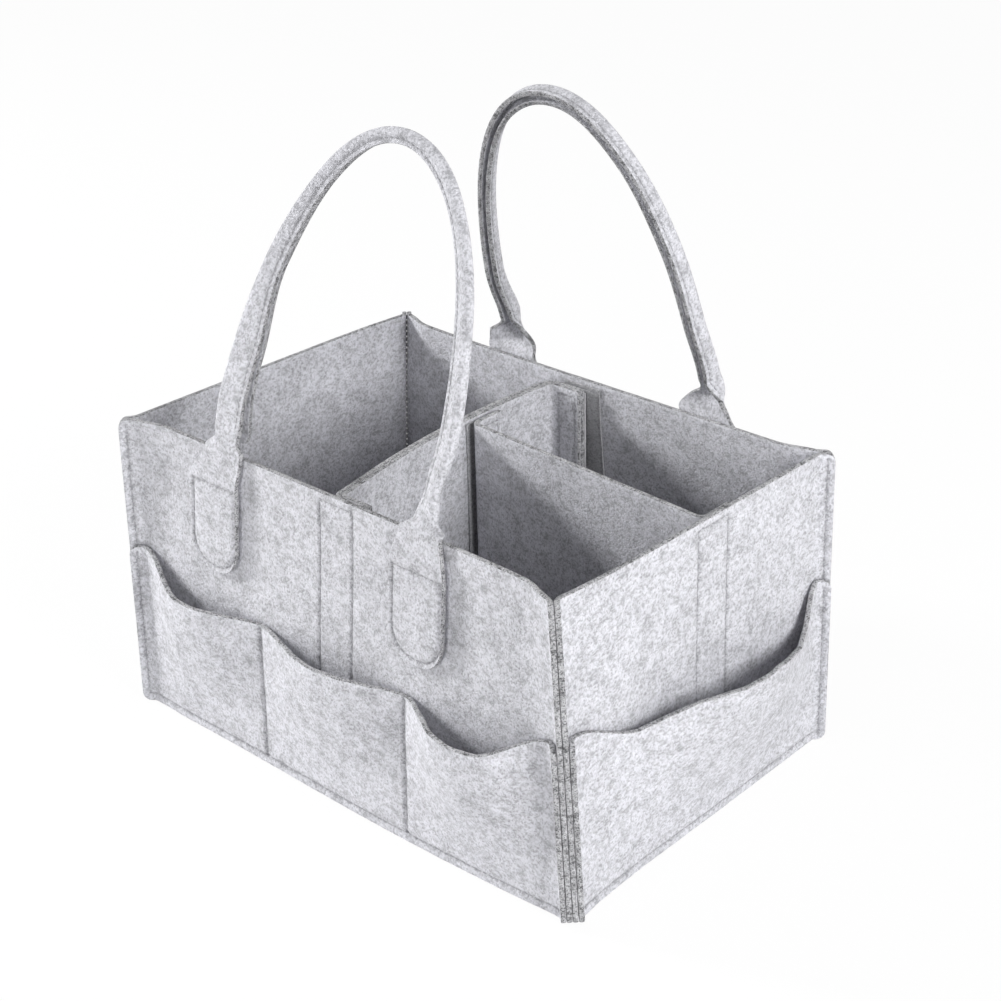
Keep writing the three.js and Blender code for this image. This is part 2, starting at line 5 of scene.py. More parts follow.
import bpy
import numpy as np
from bpy.props import FloatProperty, FloatVectorProperty, PointerProperty
from mathutils import Matrix, Vector


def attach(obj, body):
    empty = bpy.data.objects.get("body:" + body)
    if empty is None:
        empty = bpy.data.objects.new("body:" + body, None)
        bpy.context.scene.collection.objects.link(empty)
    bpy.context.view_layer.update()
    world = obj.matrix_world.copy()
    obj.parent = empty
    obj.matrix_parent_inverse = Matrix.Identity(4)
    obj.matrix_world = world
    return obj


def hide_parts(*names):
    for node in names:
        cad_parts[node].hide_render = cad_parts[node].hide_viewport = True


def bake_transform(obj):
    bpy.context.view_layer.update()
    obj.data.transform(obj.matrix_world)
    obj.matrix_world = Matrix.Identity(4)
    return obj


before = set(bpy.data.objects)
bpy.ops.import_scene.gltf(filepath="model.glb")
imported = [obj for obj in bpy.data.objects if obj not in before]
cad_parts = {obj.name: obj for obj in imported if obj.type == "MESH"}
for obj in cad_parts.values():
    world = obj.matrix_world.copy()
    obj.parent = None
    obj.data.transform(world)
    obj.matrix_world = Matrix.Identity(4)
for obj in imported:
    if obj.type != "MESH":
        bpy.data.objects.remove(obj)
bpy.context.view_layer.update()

bl_info = {
    "name": "Felt Organizer Maker",
    "version": (1, 0, 0),
    "blender": (4, 5, 0),
    "location": "3D View > Sidebar > Felt Organizer",
    "description": "Builds the felt, tape and stitching of a diaper bag organizer around its packed frame",
    "category": "Object",
}

MM = 0.001

# Sizes shared with the solids, in millimetres
GAP = 0.3
HEIGHT = 183.0
END_IN = 160.0
FRONT_IN = 104.7
FOLD_RADIUS = 9.0
FLANGE = 6.0
FLANGE_ROUND = 5.5
FLANGE_SEAM = 0.3 * FLANGE
FOLD_SHIFT = FOLD_RADIUS * (1 - math.sqrt(2)) - GAP * math.sqrt(0.5)
FOLD_LENGTH = math.pi / 4 * (FOLD_RADIUS - 3)
SPREAD_END = 1.1
SPREAD_FRONT = 3.9
FOOT_HEIGHT = 70.0
FOOT_SPREAD = 0.9
DRAW_IN = 5.4
DRAW_IN_START = 60.0
DRAW_IN_EASE = 25.0
CORNER_LEAN = 3.4
RIM_HEIGHT = 7.2
RIM_CORNER = 5.2
SAG_START = 0.55
POCKET_SEAM_X = 56.0
POCKET_SEAMS = (-POCKET_SEAM_X, POCKET_SEAM_X)
POCKET_TOP = 90.0
POCKET_CORNER_TOP = 104.5
POCKET_RISE = 38.0
POCKET_FULLNESS = (13.0, 13.0, 20.0)
POCKET_RISE_REACH = 1.35
POCKET_SEAM_FOOT = 5.0
SEAM_FLAT = 2.0
WALL_SEAM_FOOT = 6.0
CORNER_GROOVE = 0.7
TAPE_GROOVE = 0.75
POCKET_GROOVE = 0.6
POCKET_EDGE_GROOVE = 0.8
END_POCKET_TOP = 93.0
END_POCKET_CORNER_TOP = 107.0
END_POCKET_FULLNESS = 25.0
END_POCKET_PEAK = 25.0
END_POCKET_FRONT_RISE = 42.0
END_POCKET_BACK_RISE = 21.0
END_POCKET_HUMP = 3.0
END_POCKET_HUMP_Y = -25.0
END_POCKET_DIP = 7.0
END_POCKET_DIP_Y = 72.0
END_POCKET_WAVE = 38.0
HINGE_Z = HEIGHT + 2
TAB_WIDTH = 41.0
TAB_BOTTOM = 110.5
TAB_ROUND = 18.0
TAB_SHIFT = -6.0
TAB_NECK = 162.0
TAB_NECK_LENGTH = 26.0
TAB_SEAM = 3.0
TAB_SEAM_TOP = 161.5
TAB_GROOVE = 0.9
TAB_CURL = 2.4
TAB_CURL_FAR = 0.3
FRONT_HANDLE_X = -8.7
BACK_HANDLE_X = -16.2
HANDLE_HALF = 78.4
HANDLE_HEIGHT = 186.3
ARCH_SPREAD = 0.99
ARCH_RISE = 0.814
STRIP_WIDTH = 30.0
STRIP_FOLD_RADIUS = 1.65
STRIP_SEAM = 3.2
STRIP_GROOVE = 0.45
STRIP_SEAM_START = 15.0
STRAP_STAND_OFF = 0.2
STRAP_OUTWARD = 2.0
STRAP_SETTLED = 34.0
WIDENING_START = -2.0
WIDENING_LENGTH = 16.0
BOOK_FOLD_START = 14.0
BOOK_FOLD_LENGTH = 45.0
LEAN_EASE = 8.0
FRONT_LEAN = 23.7
BACK_LEAN = 16.6

# How each handle's strip lies. The rows are stops spread evenly from one root to the other: its turn about its
# own length in degrees, how far its fold stands open, its share of the strip's width and its shift sideways.
# neck is the width between tab and strap. A rolled fold starts at one edge, the other kind opens like a book.
# Either closes within fold of the hinge, and the turn starts at turn_from and takes turn_over.
FRONT_STRIP = {
    "turn": (0, 10, 18, 20, 27, 36, 32, 27, 42),
    "splay": (0.1, 0.03, 0.02, 0.02, 0.03, 0.03, 0.03, 0.03, 0.03),
    "share": (1.4, 1.2, 0.78, 0.62, 0.5, 0.74, 0.93, 0.97, 0.92),
    "neck": 28.0,
    "shift": (4, 3, 0, 0, 0, 1, 1.5, 2, -4),
    "rolled": True,
    "fold": 9.0,
    "turn_from": 3.0,
    "turn_over": 20.0,
}
BACK_STRIP = {
    "turn": (70, 79, 79, 68, 63, 73, 74, 72, 72),
    "splay": (0.06, 0.05, 0.06, 0.12, 0.14, 0.09, 0.08, 0.09, 0.09),
    "share": (0.82, 0.8, 0.78, 0.67, 0.64, 0.68, 0.72, 0.76, 1),
    "neck": 36.0,
    "shift": (11, 5, 3.5, 2, 0, 0, 0, 0, 0),
    "rolled": False,
    "fold": 22.0,
    "turn_from": 0.0,
    "turn_over": 24.0,
}

TAPE_WIDTH = 27.0
TAPE_FRONT_X = -12.0
TAPE_END_Y = -4.5
TAPE_BOTTOM = 9.0
TAPE_TOP = HEIGHT - 3
TAPE_SEAM = 1.2
TAPE_SEAM_LOW = TAPE_BOTTOM + 2
TAPE_SEAM_HIGH = TAPE_TOP - 2
TAPE_STARTS = {"front": TAPE_FRONT_X, "back": TAPE_FRONT_X, "right_end": TAPE_END_Y}
SHORT_TAPE_TOP = TAPE_TOP - 3
DIVIDER_GROOVE = 0.55
DIVIDER_BOTTOM = 8.0
DIVIDER_TOP = HEIGHT - 4
DIVIDER_BEND = 9.0
DIVIDER_FLANGE = 18.0
HOOK_INSET = 1.0
HOOK_TOP = DIVIDER_TOP - 3
HOOK_SEAM = 3.0
MAIN_X = -24.0
MAIN_SLANT = -9.0
MAIN_CURVE = 10.0
CROSS_BEND = 6.0
CROSS_START_Y = 18.0
CROSS_END_Y = 7.7
MAIN_CLEARANCE = 0.2

# Unevenness of the felt: wavelength, seed and height
WALL_FUZZ = (9.0, 3, 0.12)
POCKET_FUZZ = (8.0, 5, 0.14)
DIVIDER_FUZZ = (10.0, 17, 0.08)
DIVIDER_WAVES = (90.0, 19, 0.55)

# Camera, in degrees and metres, and shares of white
AZIMUTH = 41.48
ELEVATION = 26.56
ROLL = -0.62
TARGET = (-0.03468, 0.10911, 0.08904)
SHIFT_X = -52.52 / 1001
FLOOR_WHITE = 0.95
SOFT_WORLD = 0.2


class FeltSettings(bpy.types.PropertyGroup):
    """Felt and tape"""

    thickness: FloatProperty(
        name="Felt thickness", description="Thickness of every felt piece", default=2.8 * MM, unit="LENGTH"
    )
    tape: FloatProperty(
        name="Tape thickness", description="Thickness of the hook and loop tapes", default=1.2 * MM, unit="LENGTH"
    )
    detail: FloatProperty(
        name="Mesh spacing", description="Usual distance between mesh points", default=3.2 * MM, unit="LENGTH"
    )
    light: FloatVectorProperty(
        name="Light fibres", description="Light felt fibres", subtype="COLOR", default=(0.7, 0.7, 0.745)
    )
    dark: FloatVectorProperty(
        name="Dark fibres", description="Dark felt fibres", subtype="COLOR", default=(0.17, 0.17, 0.18)
    )
    # Cut edges are darker than the faces: partly the cut felt's own look, partly painted shade of edges that stand in
    # shadow.
    cut_light: FloatVectorProperty(
        name="Cut edge light", description="Light fibres of cut edges", subtype="COLOR", default=(0.56, 0.56, 0.58)
    )
    cut_dark: FloatVectorProperty(
        name="Cut edge dark", description="Dark fibres of cut edges", subtype="COLOR", default=(0.065, 0.065, 0.068)
    )


class StitchSettings(bpy.types.PropertyGroup):
    """Sewing"""

    length: FloatProperty(name="Stitch length", description="Length of one stitch", default=3.0 * MM, unit="LENGTH")
    gap: FloatProperty(name="Stitch gap", description="Space between stitches", default=0.8 * MM, unit="LENGTH")
    thread: FloatProperty(name="Thread thickness", description="Of the sewing thread", default=0.7 * MM, unit="LENGTH")
    colour: FloatVectorProperty(
        name="Thread colour", description="Colour of the thread", subtype="COLOR", default=(0.36, 0.36, 0.38)
    )


class StageSettings(bpy.types.PropertyGroup):
    """Floor, light and camera"""

    floor: FloatVectorProperty(
        name="Floor colour", description="Colour of the pale floor", subtype="COLOR", default=(0.9, 0.9, 0.9)
    )
    key: FloatProperty(name="Key light", description="Watts of the key light", default=46.0, min=0)
    side: FloatProperty(name="Side light", description="Watts of the light on the right", default=38.0, min=0)
    fill: FloatProperty(name="Fill light", description="Watts of the low front light", default=0.75, min=0)
    top: FloatProperty(name="Top light", description="Watts of the overhead light", default=6.0, min=0)
    distance: FloatProperty(
        name="Camera distance", description="From the camera to its target", default=1.1993, unit="LENGTH"
    )
    lens: FloatProperty(name="Lens", description="Focal length", default=69.3, subtype="DISTANCE_CAMERA")


def felt():
    return bpy.context.scene.organizer_felt


def felt_mm():
    return felt().thickness / MM


def tape_mm():
    return felt().tape / MM


# Shape helpers, all in millimetres


def smooth(t):
    c = np.clip(t, 0.0, 1.0)
    return c * c * (3 - 2 * c)


def settle(p):
    """The soft shape that everything sewn to the box follows."""
    x, y, z = p[..., 0], p[..., 1], p[..., 2]
    low = 1 - z / HEIGHT
    foot = np.where(z < FOOT_HEIGHT, (1 - z / FOOT_HEIGHT) ** 2, 0.0)
    middle = np.cos(math.pi / 2 * np.minimum(np.abs(x) / (END_IN + FLANGE), 1)) ** 2
    drawn = smooth((END_IN - np.abs(x)) / DRAW_IN_EASE) * smooth((z - DRAW_IN_START) / (HEIGHT - DRAW_IN_START))
    deep = SPREAD_FRONT * low + FOOT_SPREAD * middle * foot - DRAW_IN * drawn
    corner = np.clip(-x * y / (END_IN * FRONT_IN), 0, 1) ** 4
    lean = CORNER_LEAN * corner * (1 - 2 * low)
    wide = SPREAD_END * low * x / END_IN - lean * np.sign(x)
    share = np.sign(y) * np.minimum(np.abs(y) / FRONT_IN, 1)
    return np.stack([x + wide, y + deep * share + lean * np.sign(y), z], -1)


def sway(p):
    """Slight unevenness of the standing felt, always outward, the same for all layers of a wall."""
    x, y, z = p[..., 0], p[..., 1], p[..., 2]
    low = 1 - smooth((z - 110) / 65)
    phase = np.where(y > 0, 2.1, 0.0)
    long_mask = smooth((np.abs(y) - 60) / 35) * (1 - smooth((np.abs(x) - 125) / 22)) * low
    wave = 0.5 + 0.5 * np.sin(x / 33 + 0.6 + phase) * np.sin(z / 39 + 0.9 + phase)
    side = np.where(x > 0, 0.0, 1.7)
    end_mask = smooth((np.abs(x) - 110) / 35) * (1 - smooth((np.abs(y) - 76) / 18)) * low
    swell = 0.5 + 0.5 * np.sin(y / 27 + 1.1 + side) * np.sin(z / 35 + 0.4 + side)
    out = p.copy()
    out[..., 0] += np.sign(x) * 0.8 * end_mask * swell
    out[..., 1] += np.sign(y) * 1.0 * long_mask * wave
    return out


def ripple(p, wavelength, seed):
    """Smooth unevenness from -1 to 1 in space."""
    rng = np.random.default_rng(seed)
    total = np.zeros(p.shape[:-1])
    for _ in range(7):
        direction = rng.normal(size=3)
        direction /= np.linalg.norm(direction)
        total += np.sin(p @ direction * (2 * math.pi / wavelength) + rng.uniform(0, 2 * math.pi))
    return total / 3.5


def flat_ripple(u, v, wavelength, seed, height=1.0):
    return ripple(np.stack([u, v, u * 0], -1), wavelength, seed) * height


def marks(start, end, step, lines=()):
    """Evenly spread values from start to end, closer together at the seam lines."""
    count = max(2, int(math.ceil((end - start) / step)))
    base = list(np.linspace(start, end, count + 1))
    for line in lines:
        if start < line < end:
            base = [v for v in base if abs(v - line) > 2.9 or v in (start, end)]
            base += [line + d for d in (-2.4, -1.5, -0.8, 0, 0.8, 1.5, 2.4) if start < line + d < end]
    return np.array(sorted(base))


def groove(points, lines, depth, width=1.1):
    """Depth pressed in by the stitching at each 2D point, near some polylines."""
    nearest = np.full(points.shape[:-1], 1e9)
    for line in lines:
        line = np.array(line, float)
        for p, q in zip(line[:-1], line[1:]):
            d = q - p
            t = np.clip(((points - p) @ d) / max(d @ d, 1e-9), 0, 1)
            nearest = np.minimum(nearest, np.linalg.norm(points - (p + t[..., None] * d), axis=-1))
    return depth * np.exp(-((nearest / width) ** 2))


# Mesh helpers


def link_object(name, data):
    made = bpy.data.objects.new(name, data)
    bpy.context.scene.collection.objects.link(made)
    return made


def felt_sheet(name, near, far, materials, seams=(None, None), round_off=0.5, closed=False):
    """A closed felt sheet from two grids of points in millimetres, with softly rounded cut edges.

    With closed, the first grid direction runs round and the first row shrinks to a point."""
    columns, rows = near.shape[:2]
    near, far = near.reshape(-1, 3).copy(), far.reshape(-1, 3).copy()
    count = columns * rows
    index = np.arange(count).reshape(columns, rows)
    if closed:
        rim, inner = index[:, -1], index[:, -2]
    else:
        rim = np.r_[index[:, 0], index[-1, 1:], index[-2::-1, -1], index[0, -2:0:-1]]
        i, j = np.divmod(rim, rows)
        inner = index[np.clip(i, 1, columns - 2), np.clip(j, 1, rows - 2)]
    edge_near, edge_far = near[rim], far[rim]
    out = (edge_near + edge_far) - (near[inner] + far[inner])
    out /= np.maximum(np.linalg.norm(out, axis=1, keepdims=True), 1e-9)
    near[rim] = edge_near - out * round_off
    far[rim] = edge_far - out * round_off
    # Each band: its share of the thickness and of the rounding
    bands = [
        edge_near + (edge_far - edge_near) * t - out * round_off * back
        for t, back in ((0.12, 0.3), (0.33, 0.05), (0.67, 0.05), (0.88, 0.3))
    ]
    v = np.concatenate([near, far, *bands])
    grid = np.r_[index, index[:1]] if closed else index
    quads = np.stack([grid[:-1, :-1], grid[1:, :-1], grid[1:, 1:], grid[:-1, 1:]], -1)
    faces = np.concatenate([quads, quads[..., ::-1] + count], 1).reshape(-1, 4).tolist()
    if closed:
        faces += [index[::-1, 0].tolist(), (index[:, 0] + count).tolist()]
    kinds = [0] * len(faces)
    n = len(rim)
    loops = [rim, *(np.arange(n) + 2 * count + k * n for k in range(len(bands))), rim + count]
    for a, b in zip(loops, loops[1:]):
        faces += np.stack([np.roll(a, -1), a, b, np.roll(b, -1)], 1).tolist()
    kinds += [1] * (len(faces) - len(kinds))
    triangles = np.array([f[:3] for f in faces] + [[f[0], f[2], f[3]] for f in faces if len(f) == 4])
    a, b, c = v[triangles.T]
    if np.einsum("ij,ij->i", a, np.cross(b, c)).sum() < 0:
        faces = [f[::-1] for f in faces]
    # The seam attribute is painted shade: it darkens the felt colour along the stitch grooves on the near and far
    # faces.
    groove_shade_values = np.zeros(len(v), np.float32)
    for k, seam in enumerate(seams):
        if seam is not None:
            groove_shade_values[k * count : (k + 1) * count] = seam.reshape(-1)

    mesh = bpy.data.meshes.new(name)
    mesh.from_pydata([tuple(p) for p in v * MM], [], faces)
    for material in materials:
        mesh.materials.append(material)
    mesh.polygons.foreach_set("material_index", kinds)
    mesh.polygons.foreach_set("use_smooth", [True] * len(faces))
    mesh.attributes.new("seam", "FLOAT", "POINT").data.foreach_set("value", groove_shade_values)
    mesh.update()
    return link_object(name, mesh)


def finish_sheet(piece, body, node_name):
    """Hide the solid that a sheet stands for, and attach the sheet to what it rides on."""
    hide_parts(node_name)
    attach(piece, body)


STITCHES = {"box": [], "front_handle": [], "back_handle": [], "main_divider": [], "cross_divider": []}


def sew(grid_u, grid_v, surface, lines, body="box"):
    """Keep a point every millimetre along polylines that are given in a surface grid's own coordinates."""
    columns = grid_u[:, 0]
    for line in lines:
        line = np.array(line, float)
        lengths = np.r_[0, np.cumsum(np.linalg.norm(np.diff(line, axis=0), axis=1))]
        at = np.linspace(0, lengths[-1], max(2, int(lengths[-1]) + 1))
        found = []
        for u, v in zip(np.interp(at, lengths, line[:, 0]), np.interp(at, lengths, line[:, 1])):
            i = int(np.clip(np.searchsorted(columns, u) - 1, 0, len(columns) - 2))
            a = np.clip((u - columns[i]) / (columns[i + 1] - columns[i]), 0, 1)
            p, q = (np.array([np.interp(v, grid_v[k], surface[k, :, n]) for n in range(3)]) for k in (i, i + 1))
            found.append(p * (1 - a) + q * a)
        STITCHES[body].append(np.array(found))


# The box


class Side:
    """One wall line of the box seen from above: s along the wall, depth outward from its inner face."""

    def __init__(self, inner, other, long):
        self.inner, self.long = inner, long
        self.fold = other + FOLD_SHIFT
        self.outward = np.array([0.0, -1.0, 0.0] if long else [1.0, 0.0, 0.0])
        self.flange_run = self.fold + FOLD_LENGTH + FLANGE_SEAM
        self.pocket_seams = POCKET_SEAMS if long else ()

    def stops(self, straight):
        """Along the wall: place, share of the corner fold and share of the flange."""
        bend = [(self.fold, b, 0.0) for b in np.linspace(0, 1, 7)[1:]]
        tip = [(self.fold, 1.0, t) for t in (0.12, 0.22, 0.3, 0.38, 0.5, 0.65, 0.8, 0.92, 1.0)]
        end = bend + tip
        start = [(-s, b, t) for s, b, t in reversed(end)]
        return np.array(start + [(s, 0.0, 0.0) for s in straight] + end)

    def run(self, stops):
        """Distance along the felt from the middle of the wall."""
        s, bend, tip = stops.T
        return s + np.sign(s) * (bend * FOLD_LENGTH + tip * FLANGE)

    def point(self, stops, depth, z):
        s, bend, tip = (c[:, None] for c in stops.T)
        sign = np.where(s < 0, -1.0, 1.0)
        turn = bend * math.pi / 4
        radius = FOLD_RADIUS - depth
        run = tip * FLANGE * math.sqrt(0.5)
        along = s + sign * (radius * np.sin(turn) + run)
        out = self.inner + FOLD_RADIUS - radius * np.cos(turn) + run
        along, out, z = np.broadcast_arrays(along, out, z)
        return settle(np.stack([along, -out, z] if self.long else [out, along, z], -1))

    def flange_round(self, stops):
        """How far the flange's rounded corners draw in its top and bottom edges."""
        edge = np.minimum(FLANGE * (1 - stops[:, 2]), FLANGE_ROUND)
        return (FLANGE_ROUND - np.sqrt(FLANGE_ROUND**2 - (FLANGE_ROUND - edge) ** 2))[:, None]

    def corner_lines(self, low, high):
        return [[(s * self.flange_run, low), (s * self.flange_run, high)] for s in (-1, 1)]


LONG = Side(FRONT_IN, END_IN, True)
END = Side(END_IN, FRONT_IN, False)
WALLS = (("front", LONG, False), ("back", LONG, True), ("right_end", END, False), ("left_end", END, True))


def place(p, back):
    return sway(p * (-1.0, -1.0, 1.0) if back else p)


def wall(name, side, back, tape_from):
    tape_box = []
    if tape_from is not None:
        a, b = tape_from + TAPE_SEAM, tape_from + TAPE_WIDTH - TAPE_SEAM
        tape_box = [[(a, TAPE_SEAM_LOW), (a, TAPE_SEAM_HIGH), (b, TAPE_SEAM_HIGH), (b, TAPE_SEAM_LOW)]]
    seams = [x for line in tape_box for x, _ in line[1:3]] + list(side.pocket_seams)
    step = felt().detail / MM
    stops = side.stops(marks(-side.fold, side.fold, step, seams))
    rows = marks(0.0, HEIGHT, step, [TAPE_SEAM_HIGH])
    rounded = side.flange_round(stops)
    z = rounded + rows[None, :] / HEIGHT * (HEIGHT - 2 * rounded)
    run = np.repeat(side.run(stops)[:, None], len(rows), 1)
    flat = np.stack([run, z], -1)
    corner_lines = side.corner_lines(WALL_SEAM_FOOT, HEIGHT - 4)
    pocket_lines = [[(s, WALL_SEAM_FOOT), (s, POCKET_TOP - 2)] for s in side.pocket_seams]
    outside = groove(flat, corner_lines, CORNER_GROOVE) + groove(flat, tape_box, TAPE_GROOVE)
    inside = groove(flat, pocket_lines, POCKET_GROOVE)
    fuzz = flat_ripple(run, z, *WALL_FUZZ)
    near = place(side.point(stops, inside, z), back)
    far = place(side.point(stops, felt_mm() - outside + fuzz, z), back)
    # The groove depths also go to the seam attribute, as painted shade in the grooves.
    piece = felt_sheet(name, near, far, felt_materials(), (inside / POCKET_GROOVE, outside / TAPE_GROOVE))
    sew(run, z, far, corner_lines + tape_box)
    sew(run, z, near, pocket_lines + corner_lines)
    return piece


def long_fullness(s):
    edges = [-LONG.fold, -POCKET_SEAM_X, POCKET_SEAM_X, LONG.fold]
    out = np.zeros_like(s)
    for k in range(3):
        a, b = edges[k] + SEAM_FLAT, edges[k + 1] - SEAM_FLAT
        t = np.clip((s - a) / (b - a), 0, 1)
        mask = (s >= edges[k]) & (s <= edges[k + 1])
        out = np.where(mask, POCKET_FULLNESS[k] * np.sin(math.pi * t) ** 1.3, out)
    return out


def long_top(s):
    rise = smooth((np.abs(s) - LONG.fold + POCKET_RISE) / POCKET_RISE)
    return POCKET_TOP + (POCKET_CORNER_TOP - POCKET_TOP) * rise


def end_fullness(s):
    front = s < END_POCKET_PEAK
    reach = np.where(front, END_POCKET_PEAK + END.fold, END.fold - END_POCKET_PEAK)
    t = np.minimum(np.abs(s - END_POCKET_PEAK) / reach, 1)
    return END_POCKET_FULLNESS * np.cos(math.pi / 2 * t) ** np.where(front, 2.0, 1.3)


def end_top(s):
    length = np.where(s < 0, END_POCKET_FRONT_RISE, END_POCKET_BACK_RISE)
    corner = smooth((np.abs(s) - END.fold + length) / length)

    def wave(y):
        return np.cos(math.pi / 2 * np.minimum(np.abs(s - y) / END_POCKET_WAVE, 1)) ** 2

    uneven = END_POCKET_HUMP * wave(END_POCKET_HUMP_Y) - END_POCKET_DIP * wave(END_POCKET_DIP_Y)
    return END_POCKET_TOP + (END_POCKET_CORNER_TOP - END_POCKET_TOP) * corner + uneven


def swell(t):
    """How far a pocket stands out at a share of its height, against its top."""
    return np.sin(math.pi / 2 * smooth(np.asarray(t) / POCKET_RISE_REACH))


def pocket(name, side, back):
    thick = felt_mm()
    fullness, top = (long_fullness, long_top) if side.long else (end_fullness, end_top)
    stops = side.stops(marks(-side.fold, side.fold, felt().detail / MM * 0.85, side.pocket_seams))
    t = marks(0.0, 100.0, 3.4, [5.0]) / 100.0
    s, bend = stops[:, :1], stops[:, 1:2]
    rounded = side.flange_round(stops)
    z = rounded + t[None, :] * (top(s) - 2 * rounded)
    run = np.repeat(side.run(stops)[:, None], len(t), 1)
    stretch = np.where(bend > 0, 0.0, fullness(s)) * swell(t)[None, :] / swell(1.0)
    pucker = flat_ripple(run * 1.6, z * 0.5, 26.0, 11 if side.long else 12)
    stretch = stretch + 0.045 * pucker * np.minimum(stretch, 9.0)
    middle = side.point(stops, thick + GAP + thick / 2, z) + side.outward * stretch[..., None]
    normal = np.cross(*np.gradient(middle, axis=(0, 1)))
    normal /= np.linalg.norm(normal, axis=-1, keepdims=True)
    normal *= np.sign(normal @ side.outward)[..., None]
    flat = np.stack([run, z], -1)
    edges = side.corner_lines(WALL_SEAM_FOOT, POCKET_CORNER_TOP - 5)
    seam_lines = [[(x, POCKET_SEAM_FOOT), (x, POCKET_TOP - 2.5)] for x in side.pocket_seams]
    foot = [[(-side.flange_run, POCKET_SEAM_FOOT), (side.flange_run, POCKET_SEAM_FOOT)]]
    outside = groove(flat, edges + foot, POCKET_EDGE_GROOVE) + groove(flat, seam_lines, 1.15, 1.5)
    fuzz = flat_ripple(run, z, *POCKET_FUZZ)
    near = place(middle - normal * thick / 2, back)
    far = place(middle + normal * (thick / 2 - outside + fuzz)[..., None], back)
    # The groove depths also go to the seam attribute, as painted shade in the grooves.
    piece = felt_sheet(name, near, far, felt_materials(), (None, np.minimum(outside / POCKET_EDGE_GROOVE, 1)))
    sew(run, z, far, edges + seam_lines + foot)
    return piece


def bottom_panel():
    thick = felt_mm()
    rim = RIM_HEIGHT - thick
    outline = []
    corners = np.array([(1, 1), (-1, 1), (-1, -1), (1, -1)])
    centres = corners * (END_IN - GAP - RIM_CORNER, FRONT_IN - GAP - RIM_CORNER)
    for k, (c, e) in enumerate(zip(centres, np.roll(centres, -1, 0))):
        outline += [(*c, math.radians(a)) for a in np.linspace(k * 90, k * 90 + 90, 9)]
        steps = int(np.linalg.norm(e - c) / 4)
        outline += [(*(c + (e - c) * i / steps), math.radians(k * 90 + 90)) for i in range(1, steps)]
    cx, cy, turn = np.array(outline).T
    # Each ring: its share of the outline, how far the upper and lower face lie in from it, and their heights
    rings = []
    for share in np.r_[0.02, np.linspace(0.08, 1, 34)]:
        sag = rim * float(smooth((share - SAG_START) / (1 - SAG_START)))
        rings.append((share, 4, 4, sag, sag + thick))
    for inner, outer, low, high in ((3.6, 2, 0.1, 0.55), (3.3, 0.55, 0.4, 2.0), (thick, 0, 0.8, 4.0)):
        rings.append((1, inner, outer, rim - low, RIM_HEIGHT - high))
    rings += [(1, thick, 0, z, z) for z in (2.4, 1.6, 0.8, 0.0)]
    grids = []
    for side in (0, 1):
        rows = []
        for ring in rings:
            radius = RIM_CORNER - ring[1 + side]
            x, y = (cx + radius * np.cos(turn)) * ring[0], (cy + radius * np.sin(turn)) * ring[0]
            rows.append(np.stack([x, y, x * 0 + ring[3 + side]], -1))
        grids.append(sway(settle(np.stack(rows, 1))))
    near, far = grids
    far[..., 2] += ripple(far, 14.0, 8) * 0.1
    return felt_sheet("bottom_panel_felt", near, far, felt_materials(), closed=True)


def wall_tape(name, side, back, start):
    a, b = start + TAPE_SEAM, start + TAPE_WIDTH - TAPE_SEAM
    columns = marks(start, start + TAPE_WIDTH, 3.0, [a, b])
    stops = np.array([(s, 0.0, 0.0) for s in columns])
    rows = marks(TAPE_BOTTOM, TAPE_TOP, 3.2, [TAPE_SEAM_LOW, TAPE_SEAM_HIGH])
    run, z = np.meshgrid(columns, rows, indexing="ij")
    line = closed_box(a, b, TAPE_SEAM_LOW, TAPE_SEAM_HIGH)
    dip = groove(np.stack([run, z], -1), [line], 0.35, 0.8)
    near = place(side.point(stops, -GAP, z), back)
    far = place(side.point(stops, -GAP - tape_mm() + dip, z), back)
    # The stitch dip also goes to the seam attribute, as painted shade in the groove.
    piece = felt_sheet(name, near, far, loop_materials(), (None, dip / 0.35), 0.3)
    sew(run, z, far, [line])
    return piece


def closed_box(a, b, low, high):
    return [(a, low), (a, high), (b, high), (b, low), (a, low)]


# Handles


def along(stops, t):
    """Value at t from 0 to 1 between stops that are spread evenly."""
    at = np.clip(t, 0, 1) * (len(stops) - 1)
    i = np.minimum(np.floor(at).astype(int), len(stops) - 2)
    stops = np.array(stops, float)
    return stops[i] + (stops[i + 1] - stops[i]) * smooth(at - i)


def handle_track():
    """Centre line of the strip: x across, b up from the hinge line, d along it from the root."""
    turn = np.linspace(0, math.pi, 2400)
    c = np.cos(turn)
    x = -np.sign(c) * HANDLE_HALF * np.abs(c) ** ARCH_SPREAD
    b = HANDLE_HEIGHT * np.sin(turn).clip(0) ** ARCH_RISE
    d = np.r_[0, np.cumsum(np.hypot(np.diff(x), np.diff(b)))]
    total, root = d[-1], 24
    tab = HINGE_Z - TAB_BOTTOM
    low = np.r_[0, 0.6, 1.4, 2.4, 3.6, 5, 6.5, 8.2, 10, 12, 14.5, 17]
    low = np.r_[low, marks(19.5, tab - 1.4, 1.5, [TAB_SEAM_TOP - TAB_BOTTOM])]
    near_root = np.linspace(0, root, 33)
    middle = np.linspace(root, total - root, 270)[1:-1]
    at = np.r_[low - tab, near_root, middle, total - near_root[::-1], (total + tab - low)[::-1]]
    inside = np.clip(at, 0, total)
    before, after = np.clip(inside - 0.4, 0, total), np.clip(inside + 0.4, 0, total)
    tx, tb = (np.interp(after, d, v) - np.interp(before, d, v) for v in (x, b))
    beyond = np.minimum(at, 0) + np.minimum(total - at, 0)
    tx = np.where(beyond < 0, 0.0, tx)
    tb = np.where(beyond < 0, np.where(at < 0, 1.0, -1.0), tb)
    length = np.hypot(tx, tb)
    return np.interp(inside, d, x), np.interp(inside, d, b) + beyond, tx / length, tb / length, at, total


